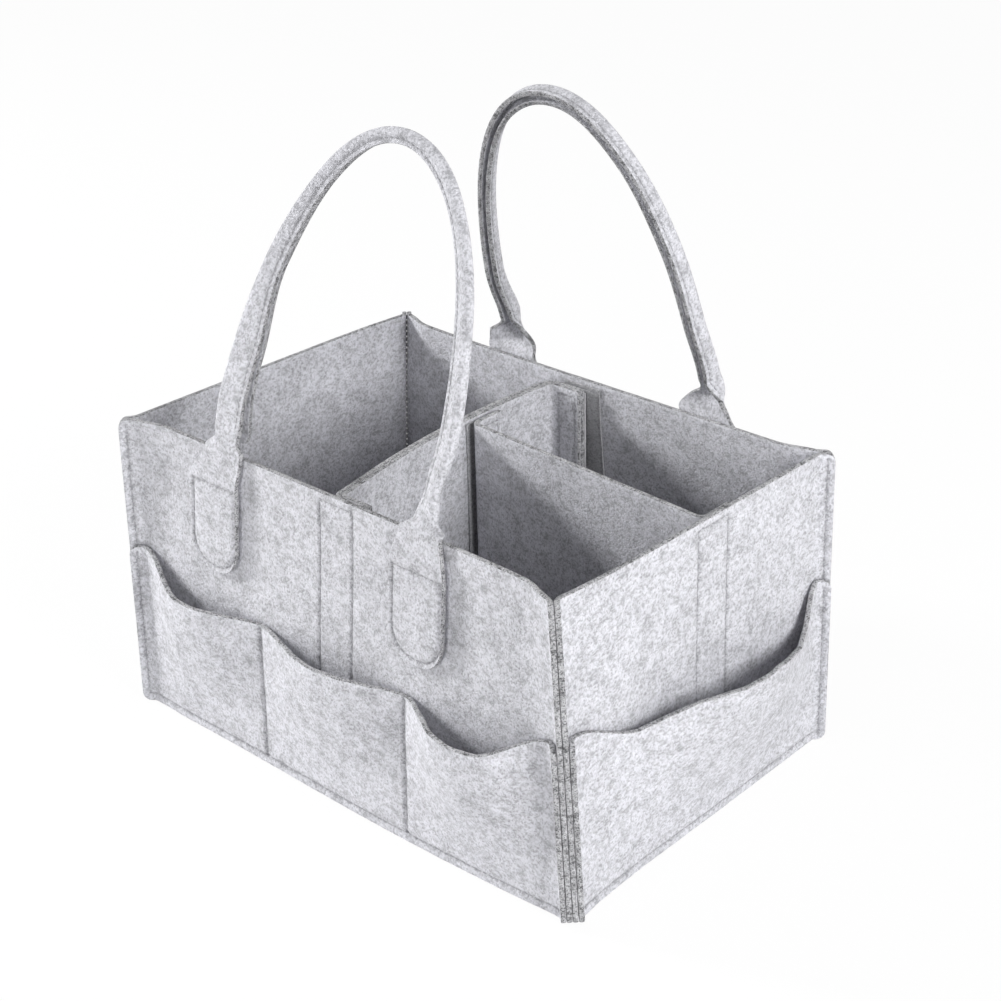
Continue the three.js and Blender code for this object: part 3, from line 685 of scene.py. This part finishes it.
def strip_width(from_end, share, neck_width, neck_shift):
    """Width of the strip and how far its middle has moved over from the tab's middle to the strap's."""
    z = from_end + HINGE_Z
    neck = float(smooth((z - TAB_NECK) / TAB_NECK_LENGTH))
    strap = float(smooth((from_end - WIDENING_START) / WIDENING_LENGTH))
    below = max(TAB_BOTTOM + TAB_ROUND - z, 0.0)
    width = TAB_WIDTH + (neck_width - TAB_WIDTH) * neck + (STRIP_WIDTH * share - neck_width) * strap
    width += 2 * math.sqrt(max(TAB_ROUND**2 - below**2, 0.0)) - 2 * TAB_ROUND
    return width, TAB_SHIFT * (1 - neck) + neck_shift * neck


def strip_section(from_end, shares, width, strip, splay):
    """Middle line of the felt across the strip: outward, inward and heading at each share of its width.

    A rolled fold starts at the strip's outer edge and moves in to its middle; the other kind opens like a book."""
    opened = float(smooth((from_end + 1) / strip["fold"]))
    turn = math.pi * (1 - splay)
    bent = math.pi * STRIP_FOLD_RADIUS
    if strip["rolled"]:
        straight = width - opened * (width + bent) / 2
    else:
        turn *= opened
        bent = width * 0.5 * (1 - opened) + bent * opened
        straight = (width - bent) / 2
    fine = np.linspace(0, width, 241)
    heading = turn * np.clip((fine - straight) / max(bent, 1e-6), 0, 1)
    mid = (heading[1:] + heading[:-1]) / 2
    x = np.r_[0, np.cumsum(np.cos(mid))] * width / 240
    y = np.r_[0, np.cumsum(np.sin(mid))] * width / 240
    x -= (x.min() + x.max()) / 2
    s = shares * width
    return np.interp(s, fine, x), np.interp(s, fine, y), np.interp(s, fine, heading)


def tab_loop():
    """The seam on a tab, as x and z from its middle: across its top, down and round its foot."""
    half = TAB_WIDTH / 2 - TAB_SEAM
    bend = TAB_ROUND - TAB_SEAM
    turns = np.linspace(math.pi / 2, 0, 9)
    arc = [(half - bend + bend * math.sin(a), TAB_BOTTOM + TAB_ROUND - bend * math.cos(a)) for a in turns]
    right, left = (half, TAB_SEAM_TOP), (-half, TAB_SEAM_TOP)
    return [right] + arc + [(-x, z) for x, z in reversed(arc)] + [left, right]


def handle(name, lean, strip, centre_x, back):
    """One strip of felt: a tab on the wall, the folded strap round the arch, and the other tab."""
    thick = felt_mm()
    px, pb, tx, tb, at, total = handle_track()
    t, from_end = at / total, np.minimum(at, total - at)
    shares = np.unique(np.round(np.r_[np.linspace(0, 1, 31), 0.06, 0.1, 0.9, 0.94], 4))
    stops = zip(from_end, along(strip["share"], t), along(strip["shift"], t))
    width, shift = np.array([strip_width(v, w, strip["neck"], q) for v, w, q in stops]).T
    rows = [strip_section(v, shares, w, strip, q) for v, w, q in zip(from_end, width, along(strip["splay"], t))]
    out, inward, heading = (np.array([r[k] for r in rows]) for k in range(3))
    px, pb, tx, tb, from_end, width = (v[:, None] for v in (px + shift, pb, tx, tb, from_end, width))
    settled = smooth(from_end / STRAP_SETTLED)
    turning = smooth((from_end - strip["turn_from"]) / strip["turn_over"])
    angle = np.radians(along(strip["turn"], t))[:, None] * turning
    base = STRAP_STAND_OFF + thick / 2 - STRAP_OUTWARD * settled
    if not strip["rolled"]:
        inmost = (-out * np.sin(angle) + inward * np.cos(angle)).max(axis=1, keepdims=True)
        base = base - inmost * (1 - smooth((from_end - BOOK_FOLD_START) / BOOK_FOLD_LENGTH))

    across_flat = (shares - 0.5) * width
    z_flat = np.repeat(HINGE_Z + from_end, len(shares), 1)
    on_tab = from_end < 0
    loop = tab_loop()
    dip = np.where(on_tab, groove(np.stack([across_flat, z_flat], -1), [loop], TAB_GROOVE, 1.2), 0.0)
    side_seam = np.minimum(shares, 1 - shares) * width
    strap_dip = STRIP_GROOVE * np.exp(-(((side_seam - STRIP_SEAM) / 1.1) ** 2)) * smooth((from_end - 12) / 10)
    edge = np.abs(across_flat) - width / 2 + TAB_SEAM
    lift = np.where(-tb * across_flat > 0, TAB_CURL, TAB_CURL_FAR)
    curl = lift * smooth((edge - 0.3) / 3.0) * smooth((z_flat - TAB_BOTTOM) / 10) * smooth(-from_end / 20)
    lean_here = math.radians(lean) * smooth(from_end / LEAN_EASE)
    wobble = flat_ripple(at, at * 0, 70.0, 21 if back else 22, 0.3)[:, None] * settled
    hinge_y = FRONT_IN - DRAW_IN + thick + GAP + thick + STRAP_STAND_OFF
    grids = []
    for reach in (strap_dip * 0.3 - thick / 2, thick / 2 - dip - strap_dip):
        e1 = out + reach * np.sin(heading)
        e2 = inward - reach * np.cos(heading) - STRIP_FOLD_RADIUS * settled
        across = e1 * np.cos(angle) + e2 * np.sin(angle)
        a = base - e1 * np.sin(angle) + e2 * np.cos(angle) + wobble
        b = pb + tx * across
        x = centre_x + px - tb * across
        y = -hinge_y + a * np.cos(lean_here) + b * np.sin(lean_here)
        z = HINGE_Z + b * np.cos(lean_here) - a * np.sin(lean_here)
        sewn_y = -FRONT_IN - thick - GAP - thick / 2 - reach - curl
        sewn = settle(np.stack([x, sewn_y, np.minimum(z_flat, HINGE_Z)], -1))
        y = np.where(on_tab, sewn[..., 1], y)
        z = np.where(on_tab, z_flat, z)
        grids.append(place(np.stack([x, y, z], -1), back))
    near, far = (np.swapaxes(g, 0, 1) for g in grids)
    # Painted shade: these groove depths darken the felt colour along the tab and strap stitching.
    seam = np.swapaxes(np.maximum(dip / TAB_GROOVE, strap_dip / 0.6), 0, 1)
    piece = felt_sheet(name + "_felt", near, far, felt_materials(), (None, seam), 0.45)

    far = grids[1]
    tabs = np.where(on_tab[:, 0])[0]
    for order in (tabs[tabs < len(at) / 2], tabs[tabs > len(at) / 2][::-1]):
        sew(z_flat[order], across_flat[order], far[order], [[(z, x) for x, z in loop]], name)
    strap = np.where(from_end[:, 0] > STRIP_SEAM_START)[0]
    inset = STRIP_SEAM / width[:, 0]
    for side in (inset, 1 - inset):
        line = [[np.interp(side[j], shares, far[j, :, n]) for n in range(3)] for j in strap]
        STITCHES[name].append(np.array(line))
    return piece


# Dividers


def standing(name, path, near_off, far_off, low, high, materials, body, lines=(), round_off=0.45):
    """A standing sheet along a path seen from above, sewn on its far face; offsets are to the path's left."""
    rows = marks(low, high, 3.6, [v for line in lines for _, v in line[1:3]])
    run, z = np.meshgrid(path_run(path), rows, indexing="ij")
    dip = groove(np.stack([run, z], -1), lines, DIVIDER_GROOVE, 1.0)
    sign = 1 if far_off > near_off else -1
    fuzz = flat_ripple(run, z, *DIVIDER_FUZZ)
    soft = flat_ripple(run * 0.6, z, *DIVIDER_WAVES)
    soft = soft * smooth((run - 30) / 25) * smooth((run[-1] - 30 - run) / 25)
    x, y, heading = (c[:, None] for c in path.T)
    offsets = [near_off - sign * fuzz + soft, far_off + sign * (fuzz - dip) + soft]
    near, far = (np.stack([x - o * np.sin(heading), y + o * np.cos(heading), z], -1) for o in offsets)
    # The stitch groove depth also goes to the seam attribute, as painted shade in the grooves.
    piece = felt_sheet(name, near, far, materials, (None, dip / DIVIDER_GROOVE), round_off)
    sew(run, z, far, lines, body)
    return piece


def path_length(path):
    return float(np.hypot(*np.diff(path[:, :2], axis=0).T).sum())


def path_run(path):
    return np.r_[0, np.cumsum(np.hypot(*np.diff(path[:, :2], axis=0).T))]


def main_x(y):
    t = y / FRONT_IN
    return MAIN_X + MAIN_SLANT * t + MAIN_CURVE * t * t


def main_heading(y):
    return np.arctan2(-FRONT_IN, -MAIN_SLANT - 2 * MAIN_CURVE * y / FRONT_IN)


def arc(cx, cy, radius, start, end, steps):
    h = np.linspace(start, end, steps + 1)
    return np.stack([cx + radius * np.sin(h), cy - radius * np.cos(h), h], 1)


def flange(base, direction, start=0.0):
    x, y, heading = base
    d = np.linspace(start, DIVIDER_FLANGE, 8)
    out = np.stack([x + direction * d * np.cos(heading), y + direction * d * np.sin(heading), d * 0 + heading], 1)
    return out[::-1] if direction < 0 else out


def tape_stack():
    return 3 * GAP + 2 * tape_mm()


def main_path():
    y0 = FRONT_IN - DRAW_IN - tape_stack() - DIVIDER_BEND
    h0, h1 = float(main_heading(y0)), float(main_heading(-y0))
    back = arc(main_x(y0) - DIVIDER_BEND * math.sin(h0), y0, DIVIDER_BEND, -math.pi, h0, 8)
    front = arc(main_x(-y0) - DIVIDER_BEND * math.sin(h1), -y0, DIVIDER_BEND, h1, 0, 8)
    y = np.linspace(back[-1, 1], front[0, 1], 56)[1:-1]
    between = np.stack([main_x(y), y, main_heading(y)], 1)
    return back, between, front


def main_thickness():
    return 2 * (felt_mm() + GAP)


def cross_path():
    h0 = float(main_heading(CROSS_START_Y + DIVIDER_FLANGE / 2))
    reach = main_thickness() + 2 * (tape_mm() + GAP)
    y_bend = CROSS_START_Y + CROSS_BEND
    start_x = main_x(y_bend) - reach * math.sin(h0) + MAIN_CLEARANCE
    h2 = math.pi / 2 + math.radians(1)
    cx0, cx1 = start_x + CROSS_BEND, END_IN - tape_stack() - CROSS_BEND
    h1 = math.atan2(CROSS_END_Y - CROSS_START_Y, cx1 - cx0)
    start = arc(cx0, y_bend, CROSS_BEND, h0, h1, 8)
    end = arc(cx1, CROSS_END_Y + CROSS_BEND, CROSS_BEND, h1, h2, 8)
    t = np.linspace(0, 1, 48)[1:-1, None]
    between = np.concatenate([start[-1:, :2] + (end[:1, :2] - start[-1:, :2]) * t, t * 0 + h1], 1)
    return start, between, end


def box_line(path, low, high):
    return closed_box(2.0, path_length(path) - 2.0, low, high)


def with_flanges(start, between, end):
    """A divider's whole path, and its two turned flanges set in for their hook tapes."""
    path = np.concatenate([flange(start[0], -1)[:-1], start, between, end, flange(end[-1], 1)[1:]])
    return path, (flange(start[0], -1, HOOK_INSET), flange(end[-1], 1, HOOK_INSET))


def flange_lines(length):
    """Seams of the hook tapes on both flanges."""
    near, far = HOOK_SEAM, DIVIDER_FLANGE - HOOK_SEAM
    return [
        [(a, TAPE_SEAM_LOW + 2), (a, HOOK_TOP - 2), (b, HOOK_TOP - 2), (b, TAPE_SEAM_LOW + 2)]
        for a, b in ((near, far), (length - far, length - near))
    ]


# Materials


def node(tree, kind, **values):
    """A new node, laid out in rows in the order of making."""
    made = tree.nodes.new(kind)
    row, column = divmod(len(tree.nodes) - 1, 8)
    made.location = (column * 200, row * -350)
    for key, value in values.items():
        setattr(made, key, value)
    return made


def wire(tree, *links):
    """Join nodes; each link is a node, its output, another node and its input."""
    for source, output, target, socket in links:
        tree.links.new(source.outputs[output], target.inputs[socket])


def add_sockets(group, in_out, kind, *names):
    for name in names:
        group.interface.new_socket(name=name, in_out=in_out, socket_type="NodeSocket" + kind)


def set_inputs(made, **values):
    for key, value in values.items():
        made.inputs[key.replace("_", " ")].default_value = value


def fibre_group():
    """Matted felt fibres: colour and height from short streaks that run all ways, plus painted shade that darkens the
    colour along the stitch grooves.
    """
    group = bpy.data.node_groups.get("Felt Fibres")
    if group:
        return group
    group = bpy.data.node_groups.new("Felt Fibres", "ShaderNodeTree")
    add_sockets(group, "INPUT", "Color", "Light", "Dark")
    add_sockets(group, "INPUT", "Float", "Amount", "Mottle", "Fibre Size", "Seam")
    add_sockets(group, "OUTPUT", "Color", "Color")
    add_sockets(group, "OUTPUT", "Float", "Height")
    start = node(group, "NodeGroupInput")
    coordinates = node(group, "ShaderNodeTexCoord")
    millimetres = node(group, "ShaderNodeVectorMath", operation="SCALE")
    set_inputs(millimetres, Scale=1000.0)
    sized = node(group, "ShaderNodeVectorMath", operation="SCALE")
    wire(group, (coordinates, "Object", millimetres, 0), (millimetres, 0, sized, 0))
    wire(group, (start, "Fibre Size", sized, "Scale"))

    def streaks(rotation, stretch, low, high):
        mapping = node(group, "ShaderNodeMapping")
        set_inputs(mapping, Rotation=rotation, Scale=stretch)
        noise = node(group, "ShaderNodeTexNoise")
        set_inputs(noise, Scale=1.0, Detail=1.0, Roughness=0.5)
        ramp = node(group, "ShaderNodeMapRange")
        set_inputs(ramp, From_Min=low, From_Max=high)
        wire(group, (sized, 0, mapping, "Vector"), (mapping, 0, noise, "Vector"), (noise, "Fac", ramp, "Value"))
        return ramp.outputs["Result"]

    def join(operation, a, b):
        made = node(group, "ShaderNodeMath", operation=operation)
        for k, value in enumerate((a, b)):
            if isinstance(value, float):
                made.inputs[k].default_value = value
            else:
                group.links.new(value, made.inputs[k])
        return made.outputs[0]

    dark_a = streaks((0.4, 0.9, 0.3), (0.62, 0.46, 0.62), 0.46, 0.66)
    dark_b = streaks((1.3, 0.2, 1.9), (0.2, 0.28, 0.28), 0.48, 0.68)
    dark_c = streaks((0.2, 1.7, 2.6), (1.1, 1.1, 0.5), 0.52, 0.7)
    light = streaks((2.2, 0.7, 1.1), (0.9, 0.6, 0.9), 0.5, 0.66)
    mottle = streaks((0.0, 0.5, 0.2), (0.09, 0.09, 0.09), 0.36, 0.66)
    dark = join("MAXIMUM", join("MAXIMUM", dark_a, dark_b), dark_c)
    dark = join("MULTIPLY", dark, join("SUBTRACT", 1.0, join("MULTIPLY", light, 0.7)))
    fibre = join("MULTIPLY", dark, start.outputs["Amount"])
    patch = join("MULTIPLY", mottle, start.outputs["Mottle"])
    # Painted shade: the input read here darkens the felt colour along the stitch grooves.
    seam = join("MULTIPLY", start.outputs["Seam"], 0.28)
    clamp = node(group, "ShaderNodeClamp")
    group.links.new(join("ADD", join("ADD", fibre, patch), seam), clamp.inputs["Value"])
    blend = node(group, "ShaderNodeMix", data_type="RGBA")
    height = join("SUBTRACT", light, join("MULTIPLY", dark, 0.8))
    end = node(group, "NodeGroupOutput")
    wire(group, (clamp, 0, blend, "Factor"), (start, "Light", blend, "A"), (start, "Dark", blend, "B"))
    wire(group, (blend, "Result", end, "Color"))
    group.links.new(height, end.inputs["Height"])
    return group


def fibre_material(name, light, dark, amount, mottle, size, bump, roughness=0.95, sheen=0.15, specular=0.2):
    made = bpy.data.materials.get(name)
    if made:
        return made
    made = bpy.data.materials.new(name)
    made.use_nodes = True
    tree = made.node_tree
    surface = tree.nodes["Principled BSDF"]
    set_inputs(surface, Roughness=roughness, Sheen_Weight=sheen, Sheen_Roughness=0.6, Specular_IOR_Level=specular)
    fibres = node(tree, "ShaderNodeGroup", node_tree=fibre_group())
    set_inputs(fibres, Light=(*light, 1), Dark=(*dark, 1), Amount=amount, Mottle=mottle, Fibre_Size=size)
    wire(tree, (fibres, "Color", surface, "Base Color"))
    if bump:
        # Painted shade: the seam attribute darkens the fibre colour in the stitch grooves.
        seam = node(tree, "ShaderNodeAttribute", attribute_name="seam")
        relief = node(tree, "ShaderNodeBump")
        set_inputs(relief, Strength=bump, Distance=0.0006)
        wire(tree, (seam, "Fac", fibres, "Seam"))
        wire(tree, (fibres, "Height", relief, "Height"), (relief, "Normal", surface, "Normal"))
    return made


def felt_materials():
    s = felt()
    return [
        fibre_material("felt_face", s.light, s.dark, 0.52, 0.16, 1.0, 0.45),
        # Cut edge colours are partly the cut felt's own darker look, partly painted shade of edges in shadow.
        fibre_material("felt_cut_edge", s.cut_light, s.cut_dark, 0.85, 0.25, 1.9, 0.5),
    ]


def loop_materials():
    return [fibre_material("loop_tape_face", (0.5, 0.5, 0.52), (0.22, 0.22, 0.23), 0.7, 0.1, 1.8, 0.6)] * 2


def hook_materials():
    light, dark = (0.66, 0.66, 0.68), (0.4, 0.4, 0.41)
    return [fibre_material("hook_tape_face", light, dark, 0.5, 0.05, 2.6, 0.6, 0.55, 0.0)] * 2


def thread_material():
    colour = bpy.context.scene.organizer_stitch.colour
    return fibre_material("sewing_thread", colour, [c * 0.6 for c in colour], 0.5, 0.2, 3.0, 0.0, 0.6, 0.0, 0.3)


# Stitching by Geometry Nodes


def stitch_tree():
    """Short rounded stitches laid end to end along the edges of the incoming mesh."""
    group = bpy.data.node_groups.get("Stitch Run")
    if group:
        return group
    group = bpy.data.node_groups.new("Stitch Run", "GeometryNodeTree")
    add_sockets(group, "INPUT", "Geometry", "Geometry")
    add_sockets(group, "INPUT", "Float", "Stitch Length", "Stitch Gap", "Thread")
    add_sockets(group, "INPUT", "Material", "Material")
    add_sockets(group, "OUTPUT", "Geometry", "Geometry")
    start = node(group, "NodeGroupInput")
    curve = node(group, "GeometryNodeMeshToCurve")
    pitch = node(group, "ShaderNodeMath", operation="ADD")
    spaced = node(group, "GeometryNodeResampleCurve", mode="LENGTH")
    tangent = node(group, "GeometryNodeInputTangent")
    align = node(group, "FunctionNodeAlignRotationToVector", axis="X")
    bead = node(group, "GeometryNodeMeshUVSphere")
    set_inputs(bead, Segments=8, Rings=6, Radius=0.5)
    sizes = node(group, "ShaderNodeCombineXYZ")
    shaped = node(group, "GeometryNodeTransform")
    laid = node(group, "GeometryNodeInstanceOnPoints")
    real = node(group, "GeometryNodeRealizeInstances")
    coat = node(group, "GeometryNodeSetMaterial")
    end = node(group, "NodeGroupOutput")
    wire(
        group,
        (start, "Geometry", curve, "Mesh"),
        (start, "Stitch Length", pitch, 0),
        (start, "Stitch Gap", pitch, 1),
        (curve, "Curve", spaced, "Curve"),
        (pitch, 0, spaced, "Length"),
        (tangent, 0, align, "Vector"),
        (start, "Stitch Length", sizes, "X"),
        (start, "Thread", sizes, "Y"),
        (start, "Thread", sizes, "Z"),
        (bead, "Mesh", shaped, "Geometry"),
        (sizes, 0, shaped, "Scale"),
        (spaced, "Curve", laid, "Points"),
        (shaped, "Geometry", laid, "Instance"),
        (align, "Rotation", laid, "Rotation"),
        (laid, "Instances", real, "Geometry"),
        (real, "Geometry", coat, "Geometry"),
        (start, "Material", coat, "Material"),
        (coat, "Geometry", end, "Geometry"),
    )
    return group


def stitch_object(name, runs):
    """Real stitches along some runs of points: one plain mesh."""
    points, edges = [], []
    for run in runs:
        base = len(points)
        points += [tuple(p) for p in run * MM]
        edges += [(base + k, base + k + 1) for k in range(len(run) - 1)]
    guide_mesh = bpy.data.meshes.new(name + "_guide")
    guide_mesh.from_pydata(points, edges, [])
    guide = link_object(name + "_guide", guide_mesh)
    tree = stitch_tree()
    settings = bpy.context.scene.organizer_stitch
    modifier = guide.modifiers.new("Stitches", "NODES")
    modifier.node_group = tree
    values = {
        "Stitch Length": settings.length,
        "Stitch Gap": settings.gap,
        "Thread": settings.thread,
        "Material": thread_material(),
    }
    for item in tree.interface.items_tree:
        if item.in_out == "INPUT" and item.name in values:
            modifier[item.identifier] = values[item.name]
    graph = bpy.context.evaluated_depsgraph_get()
    mesh = bpy.data.meshes.new_from_object(guide.evaluated_get(graph))
    mesh.name = name
    mesh.polygons.foreach_set("use_smooth", [True] * len(mesh.polygons))
    bpy.data.objects.remove(guide)
    piece = link_object(name, mesh)
    return piece


# Operators


class ORGANIZER_OT_walls(bpy.types.Operator):
    """Build the four felt walls"""

    bl_idname = "organizer.walls"
    bl_label = "Walls"

    def execute(self, context):
        for end, side, back in WALLS:
            name = end + "_wall"
            piece = wall(name + "_felt", side, back, TAPE_STARTS.get(end))
            finish_sheet(piece, "box", name)
        return {"FINISHED"}


class ORGANIZER_OT_bottom(bpy.types.Operator):
    """Build the bottom panel with its turned-down rim"""

    bl_idname = "organizer.bottom"
    bl_label = "Bottom"

    def execute(self, context):
        finish_sheet(bottom_panel(), "box", "bottom_panel")
        return {"FINISHED"}


class ORGANIZER_OT_pockets(bpy.types.Operator):
    """Build the outside pockets"""

    bl_idname = "organizer.pockets"
    bl_label = "Pockets"

    def execute(self, context):
        for end, side, back in WALLS:
            name = end + "_pocket"
            piece = pocket(name + "_felt", side, back)
            finish_sheet(piece, "box", name)
        return {"FINISHED"}


class ORGANIZER_OT_handles(bpy.types.Operator):
    """Build the handles, each one folded strip with its sewn tabs"""

    bl_idname = "organizer.handles"
    bl_label = "Handles"

    def execute(self, context):
        for end, lean, strip, centre_x in (
            ("front", FRONT_LEAN, FRONT_STRIP, FRONT_HANDLE_X),
            ("back", BACK_LEAN, BACK_STRIP, BACK_HANDLE_X),
        ):
            body = end + "_handle"
            piece = handle(body, lean, strip, centre_x, end == "back")
            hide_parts(body + "_strap", end + "_left_tab", end + "_right_tab")
            blend_at_hinge(piece, body)
        return {"FINISHED"}


def blend_at_hinge(piece, body):
    """Bake the piece's transform into its mesh; the hinge line's y is worked out but not used."""
    y = FRONT_IN - DRAW_IN + felt_mm() + GAP + felt_mm() / 2
    y = y if body == "back_handle" else -y
    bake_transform(piece)


class ORGANIZER_OT_tapes(bpy.types.Operator):
    """Build the loop tapes inside the walls"""

    bl_idname = "organizer.tapes"
    bl_label = "Wall tapes"

    def execute(self, context):
        for end, side, back in WALLS:
            if end in TAPE_STARTS:
                name = end + "_loop_tape"
                piece = wall_tape(name + "_woven", side, back, TAPE_STARTS[end])
                finish_sheet(piece, "box", name)
        return {"FINISHED"}


class ORGANIZER_OT_dividers(bpy.types.Operator):
    """Build the main and cross dividers with their tapes"""

    bl_idname = "organizer.dividers"
    bl_label = "Dividers"

    def execute(self, context):
        path, (back, front) = with_flanges(*main_path())
        lines = flange_lines(path_length(path))
        self.ply("main_divider", "main_divider_outer_ply", path, 0.0, [])
        self.ply("main_divider", "main_divider_inner_ply", path, felt_mm() + GAP, lines)
        self.hook("main_divider_back_hook_tape", back, "main_divider", "main_divider_outer_ply")
        self.hook("main_divider_front_hook_tape", front, "main_divider", "main_divider_outer_ply")
        self.loop()
        path, (start, end) = with_flanges(*cross_path())
        self.ply("cross_divider", "cross_divider_panel", path, 0.0, flange_lines(path_length(path)))
        self.hook("cross_divider_main_hook_tape", start, "cross_divider", "cross_divider_panel")
        self.hook("cross_divider_end_hook_tape", end, "cross_divider", "cross_divider_panel")
        return {"FINISHED"}

    def ply(self, body, name, path, near, lines):
        ends = near, near + felt_mm(), DIVIDER_BOTTOM, DIVIDER_TOP
        piece = standing(name + "_felt", path, *ends, felt_materials(), body, lines)
        finish_sheet(piece, body, name)

    def hook(self, name, path, body, on):
        ends = -GAP, -GAP - tape_mm(), TAPE_SEAM_LOW, HOOK_TOP
        seam = box_line(path, TAPE_SEAM_LOW + 2, HOOK_TOP - 2)
        piece = standing(name + "_woven", path, *ends, hook_materials(), body, [seam], round_off=0.3)
        finish_sheet(piece, body, name)

    def loop(self):
        """The tape on the main divider that the cross divider grips."""
        y = np.linspace(CROSS_START_Y - HOOK_INSET + TAPE_WIDTH, CROSS_START_Y - HOOK_INSET, 12)
        path = np.stack([main_x(y), y, main_heading(y)], 1)
        near = main_thickness()
        ends = near, near + tape_mm(), TAPE_BOTTOM, SHORT_TAPE_TOP
        seam = box_line(path, TAPE_SEAM_LOW, SHORT_TAPE_TOP - 2)
        name = "main_divider_loop_tape"
        piece = standing(name + "_woven", path, *ends, loop_materials(), "main_divider", [seam], round_off=0.3)
        finish_sheet(piece, "main_divider", name)


class ORGANIZER_OT_stitching(bpy.types.Operator):
    """Lay the stitches along every seam"""

    bl_idname = "organizer.stitching"
    bl_label = "Stitching"

    def execute(self, context):
        for body, runs in STITCHES.items():
            if not runs:
                raise RuntimeError(f"no seams were recorded for {body}")
            piece = stitch_object(body + "_stitching", runs)
            if body.endswith("handle"):
                blend_at_hinge(piece, body)
            else:
                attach(piece, body)
        return {"FINISHED"}


class ORGANIZER_OT_stage(bpy.types.Operator):
    """Set up the floor, the lights and the camera"""

    bl_idname = "organizer.stage"
    bl_label = "Stage"

    def execute(self, context):
        scene, s = context.scene, context.scene.organizer_stage
        self.floor(s)
        for name, power, place_at, size, spread, height in (
            ("key_light", s.key, (-1.9, -0.75, 1.0), 0.4, 180, 0.12),
            ("side_light", s.side, (1.95, -0.2, 1.0), 0.9, 180, 0.12),
            ("fill_light", s.fill, (0.3, -2.0, 0.5), 0.7, 40, -0.14),
            ("top_light", s.top, (0.1, 0.3, 1.9), 1.6, 180, 0.12),
        ):
            lamp = bpy.data.lights.new(name, "AREA")
            lamp.energy, lamp.size, lamp.spread = power, size, math.radians(spread)
            holder = link_object(name, lamp)
            holder.location = place_at
            aim = Vector((0, 0, height)) - Vector(place_at)
            holder.rotation_euler = aim.to_track_quat("-Z", "Y").to_euler()
        self.world(scene)
        self.camera(scene, s)
        scene.view_settings.view_transform = "Standard"
        return {"FINISHED"}

    def floor(self, s):
        """A pale floor that takes shadows but looks almost white to the camera."""
        mesh = bpy.data.meshes.new("floor")
        mesh.from_pydata([(-4, -4, 0), (4, -4, 0), (4, 4, 0), (-4, 4, 0)], [], [(0, 1, 2, 3)])
        made = bpy.data.materials.new("pale_floor")
        made.use_nodes = True
        tree = made.node_tree
        surface = tree.nodes["Principled BSDF"]
        set_inputs(surface, Base_Color=(*s.floor, 1), Roughness=0.9)
        rays = node(tree, "ShaderNodeLightPath")
        share = node(tree, "ShaderNodeMath", operation="MULTIPLY")
        share.inputs[1].default_value = FLOOR_WHITE
        white = node(tree, "ShaderNodeEmission")
        set_inputs(white, Color=(1, 1, 1, 1), Strength=1.0)
        blend = node(tree, "ShaderNodeMixShader")
        wire(
            tree,
            (rays, "Is Camera Ray", share, 0),
            (share, 0, blend, "Fac"),
            (surface, 0, blend, 1),
            (white, 0, blend, 2),
            (blend, 0, tree.nodes["Material Output"], "Surface"),
        )
        mesh.materials.append(made)
        link_object("floor", mesh)

    def world(self, scene):
        """White behind everything, softer where it only lights the felt."""
        world = bpy.data.worlds.new("soft_white_room")
        world.use_nodes = True
        tree = world.node_tree
        background = tree.nodes["Background"]
        set_inputs(background, Color=(1, 1, 1, 1))
        rays = node(tree, "ShaderNodeLightPath")
        seen = node(tree, "ShaderNodeMath", operation="MAXIMUM")
        level = node(tree, "ShaderNodeMapRange")
        set_inputs(level, To_Min=SOFT_WORLD, To_Max=1.0)
        wire(
            tree,
            (rays, "Is Camera Ray", seen, 0),
            (rays, "Is Glossy Ray", seen, 1),
            (seen, 0, level, "Value"),
            (level, "Result", background, "Strength"),
        )
        scene.world = world

    def camera(self, scene, s):
        azimuth, elevation, roll = (math.radians(a) for a in (AZIMUTH, ELEVATION, ROLL))
        level = math.cos(elevation)
        away = Vector((math.sin(azimuth) * level, -math.cos(azimuth) * level, math.sin(elevation)))
        right = (-away).cross(Vector((0, 0, 1))).normalized()
        up = right.cross(-away)
        rolled_right = right * math.cos(roll) + up * math.sin(roll)
        rolled_up = up * math.cos(roll) - right * math.sin(roll)
        data = bpy.data.cameras.new("camera")
        data.lens, data.sensor_width, data.shift_x = s.lens, 36.0, SHIFT_X
        data.clip_start, data.clip_end = 0.05, 20
        camera = link_object("camera", data)
        basis = Matrix((rolled_right, rolled_up, away)).transposed()
        camera.matrix_world = Matrix.Translation(Vector(TARGET) + away * s.distance) @ basis.to_4x4()
        scene.camera = camera


class ORGANIZER_PT_panel(bpy.types.Panel):
    """Sizes, colours and steps of the felt organizer"""

    bl_idname = "ORGANIZER_PT_panel"
    bl_label = "Felt Organizer"
    bl_space_type = "VIEW_3D"
    bl_region_type = "UI"
    bl_category = "Felt Organizer"

    def draw(self, context):
        for name in ("organizer_felt", "organizer_stitch", "organizer_stage"):
            group = getattr(context.scene, name)
            box = self.layout.box()
            for key in group.__annotations__:
                box.prop(group, key)
        for step in STEPS:
            self.layout.operator(step.bl_idname)


STEPS = (
    ORGANIZER_OT_walls,
    ORGANIZER_OT_bottom,
    ORGANIZER_OT_pockets,
    ORGANIZER_OT_handles,
    ORGANIZER_OT_tapes,
    ORGANIZER_OT_dividers,
    ORGANIZER_OT_stitching,
    ORGANIZER_OT_stage,
)
SETTINGS = (
    ("organizer_felt", FeltSettings),
    ("organizer_stitch", StitchSettings),
    ("organizer_stage", StageSettings),
)
CLASSES = [c for _, c in SETTINGS] + [*STEPS, ORGANIZER_PT_panel]


def register():
    for cls in CLASSES:
        bpy.utils.register_class(cls)
    for name, cls in SETTINGS:
        setattr(bpy.types.Scene, name, PointerProperty(type=cls))


def unregister():
    for name, _ in SETTINGS:
        delattr(bpy.types.Scene, name)
    for cls in reversed(CLASSES):
        bpy.utils.unregister_class(cls)


def main():
    register()
    for step in STEPS:
        family, action = step.bl_idname.split(".")
        getattr(getattr(bpy.ops, family), action)()


if __name__ == "__main__":
    main()
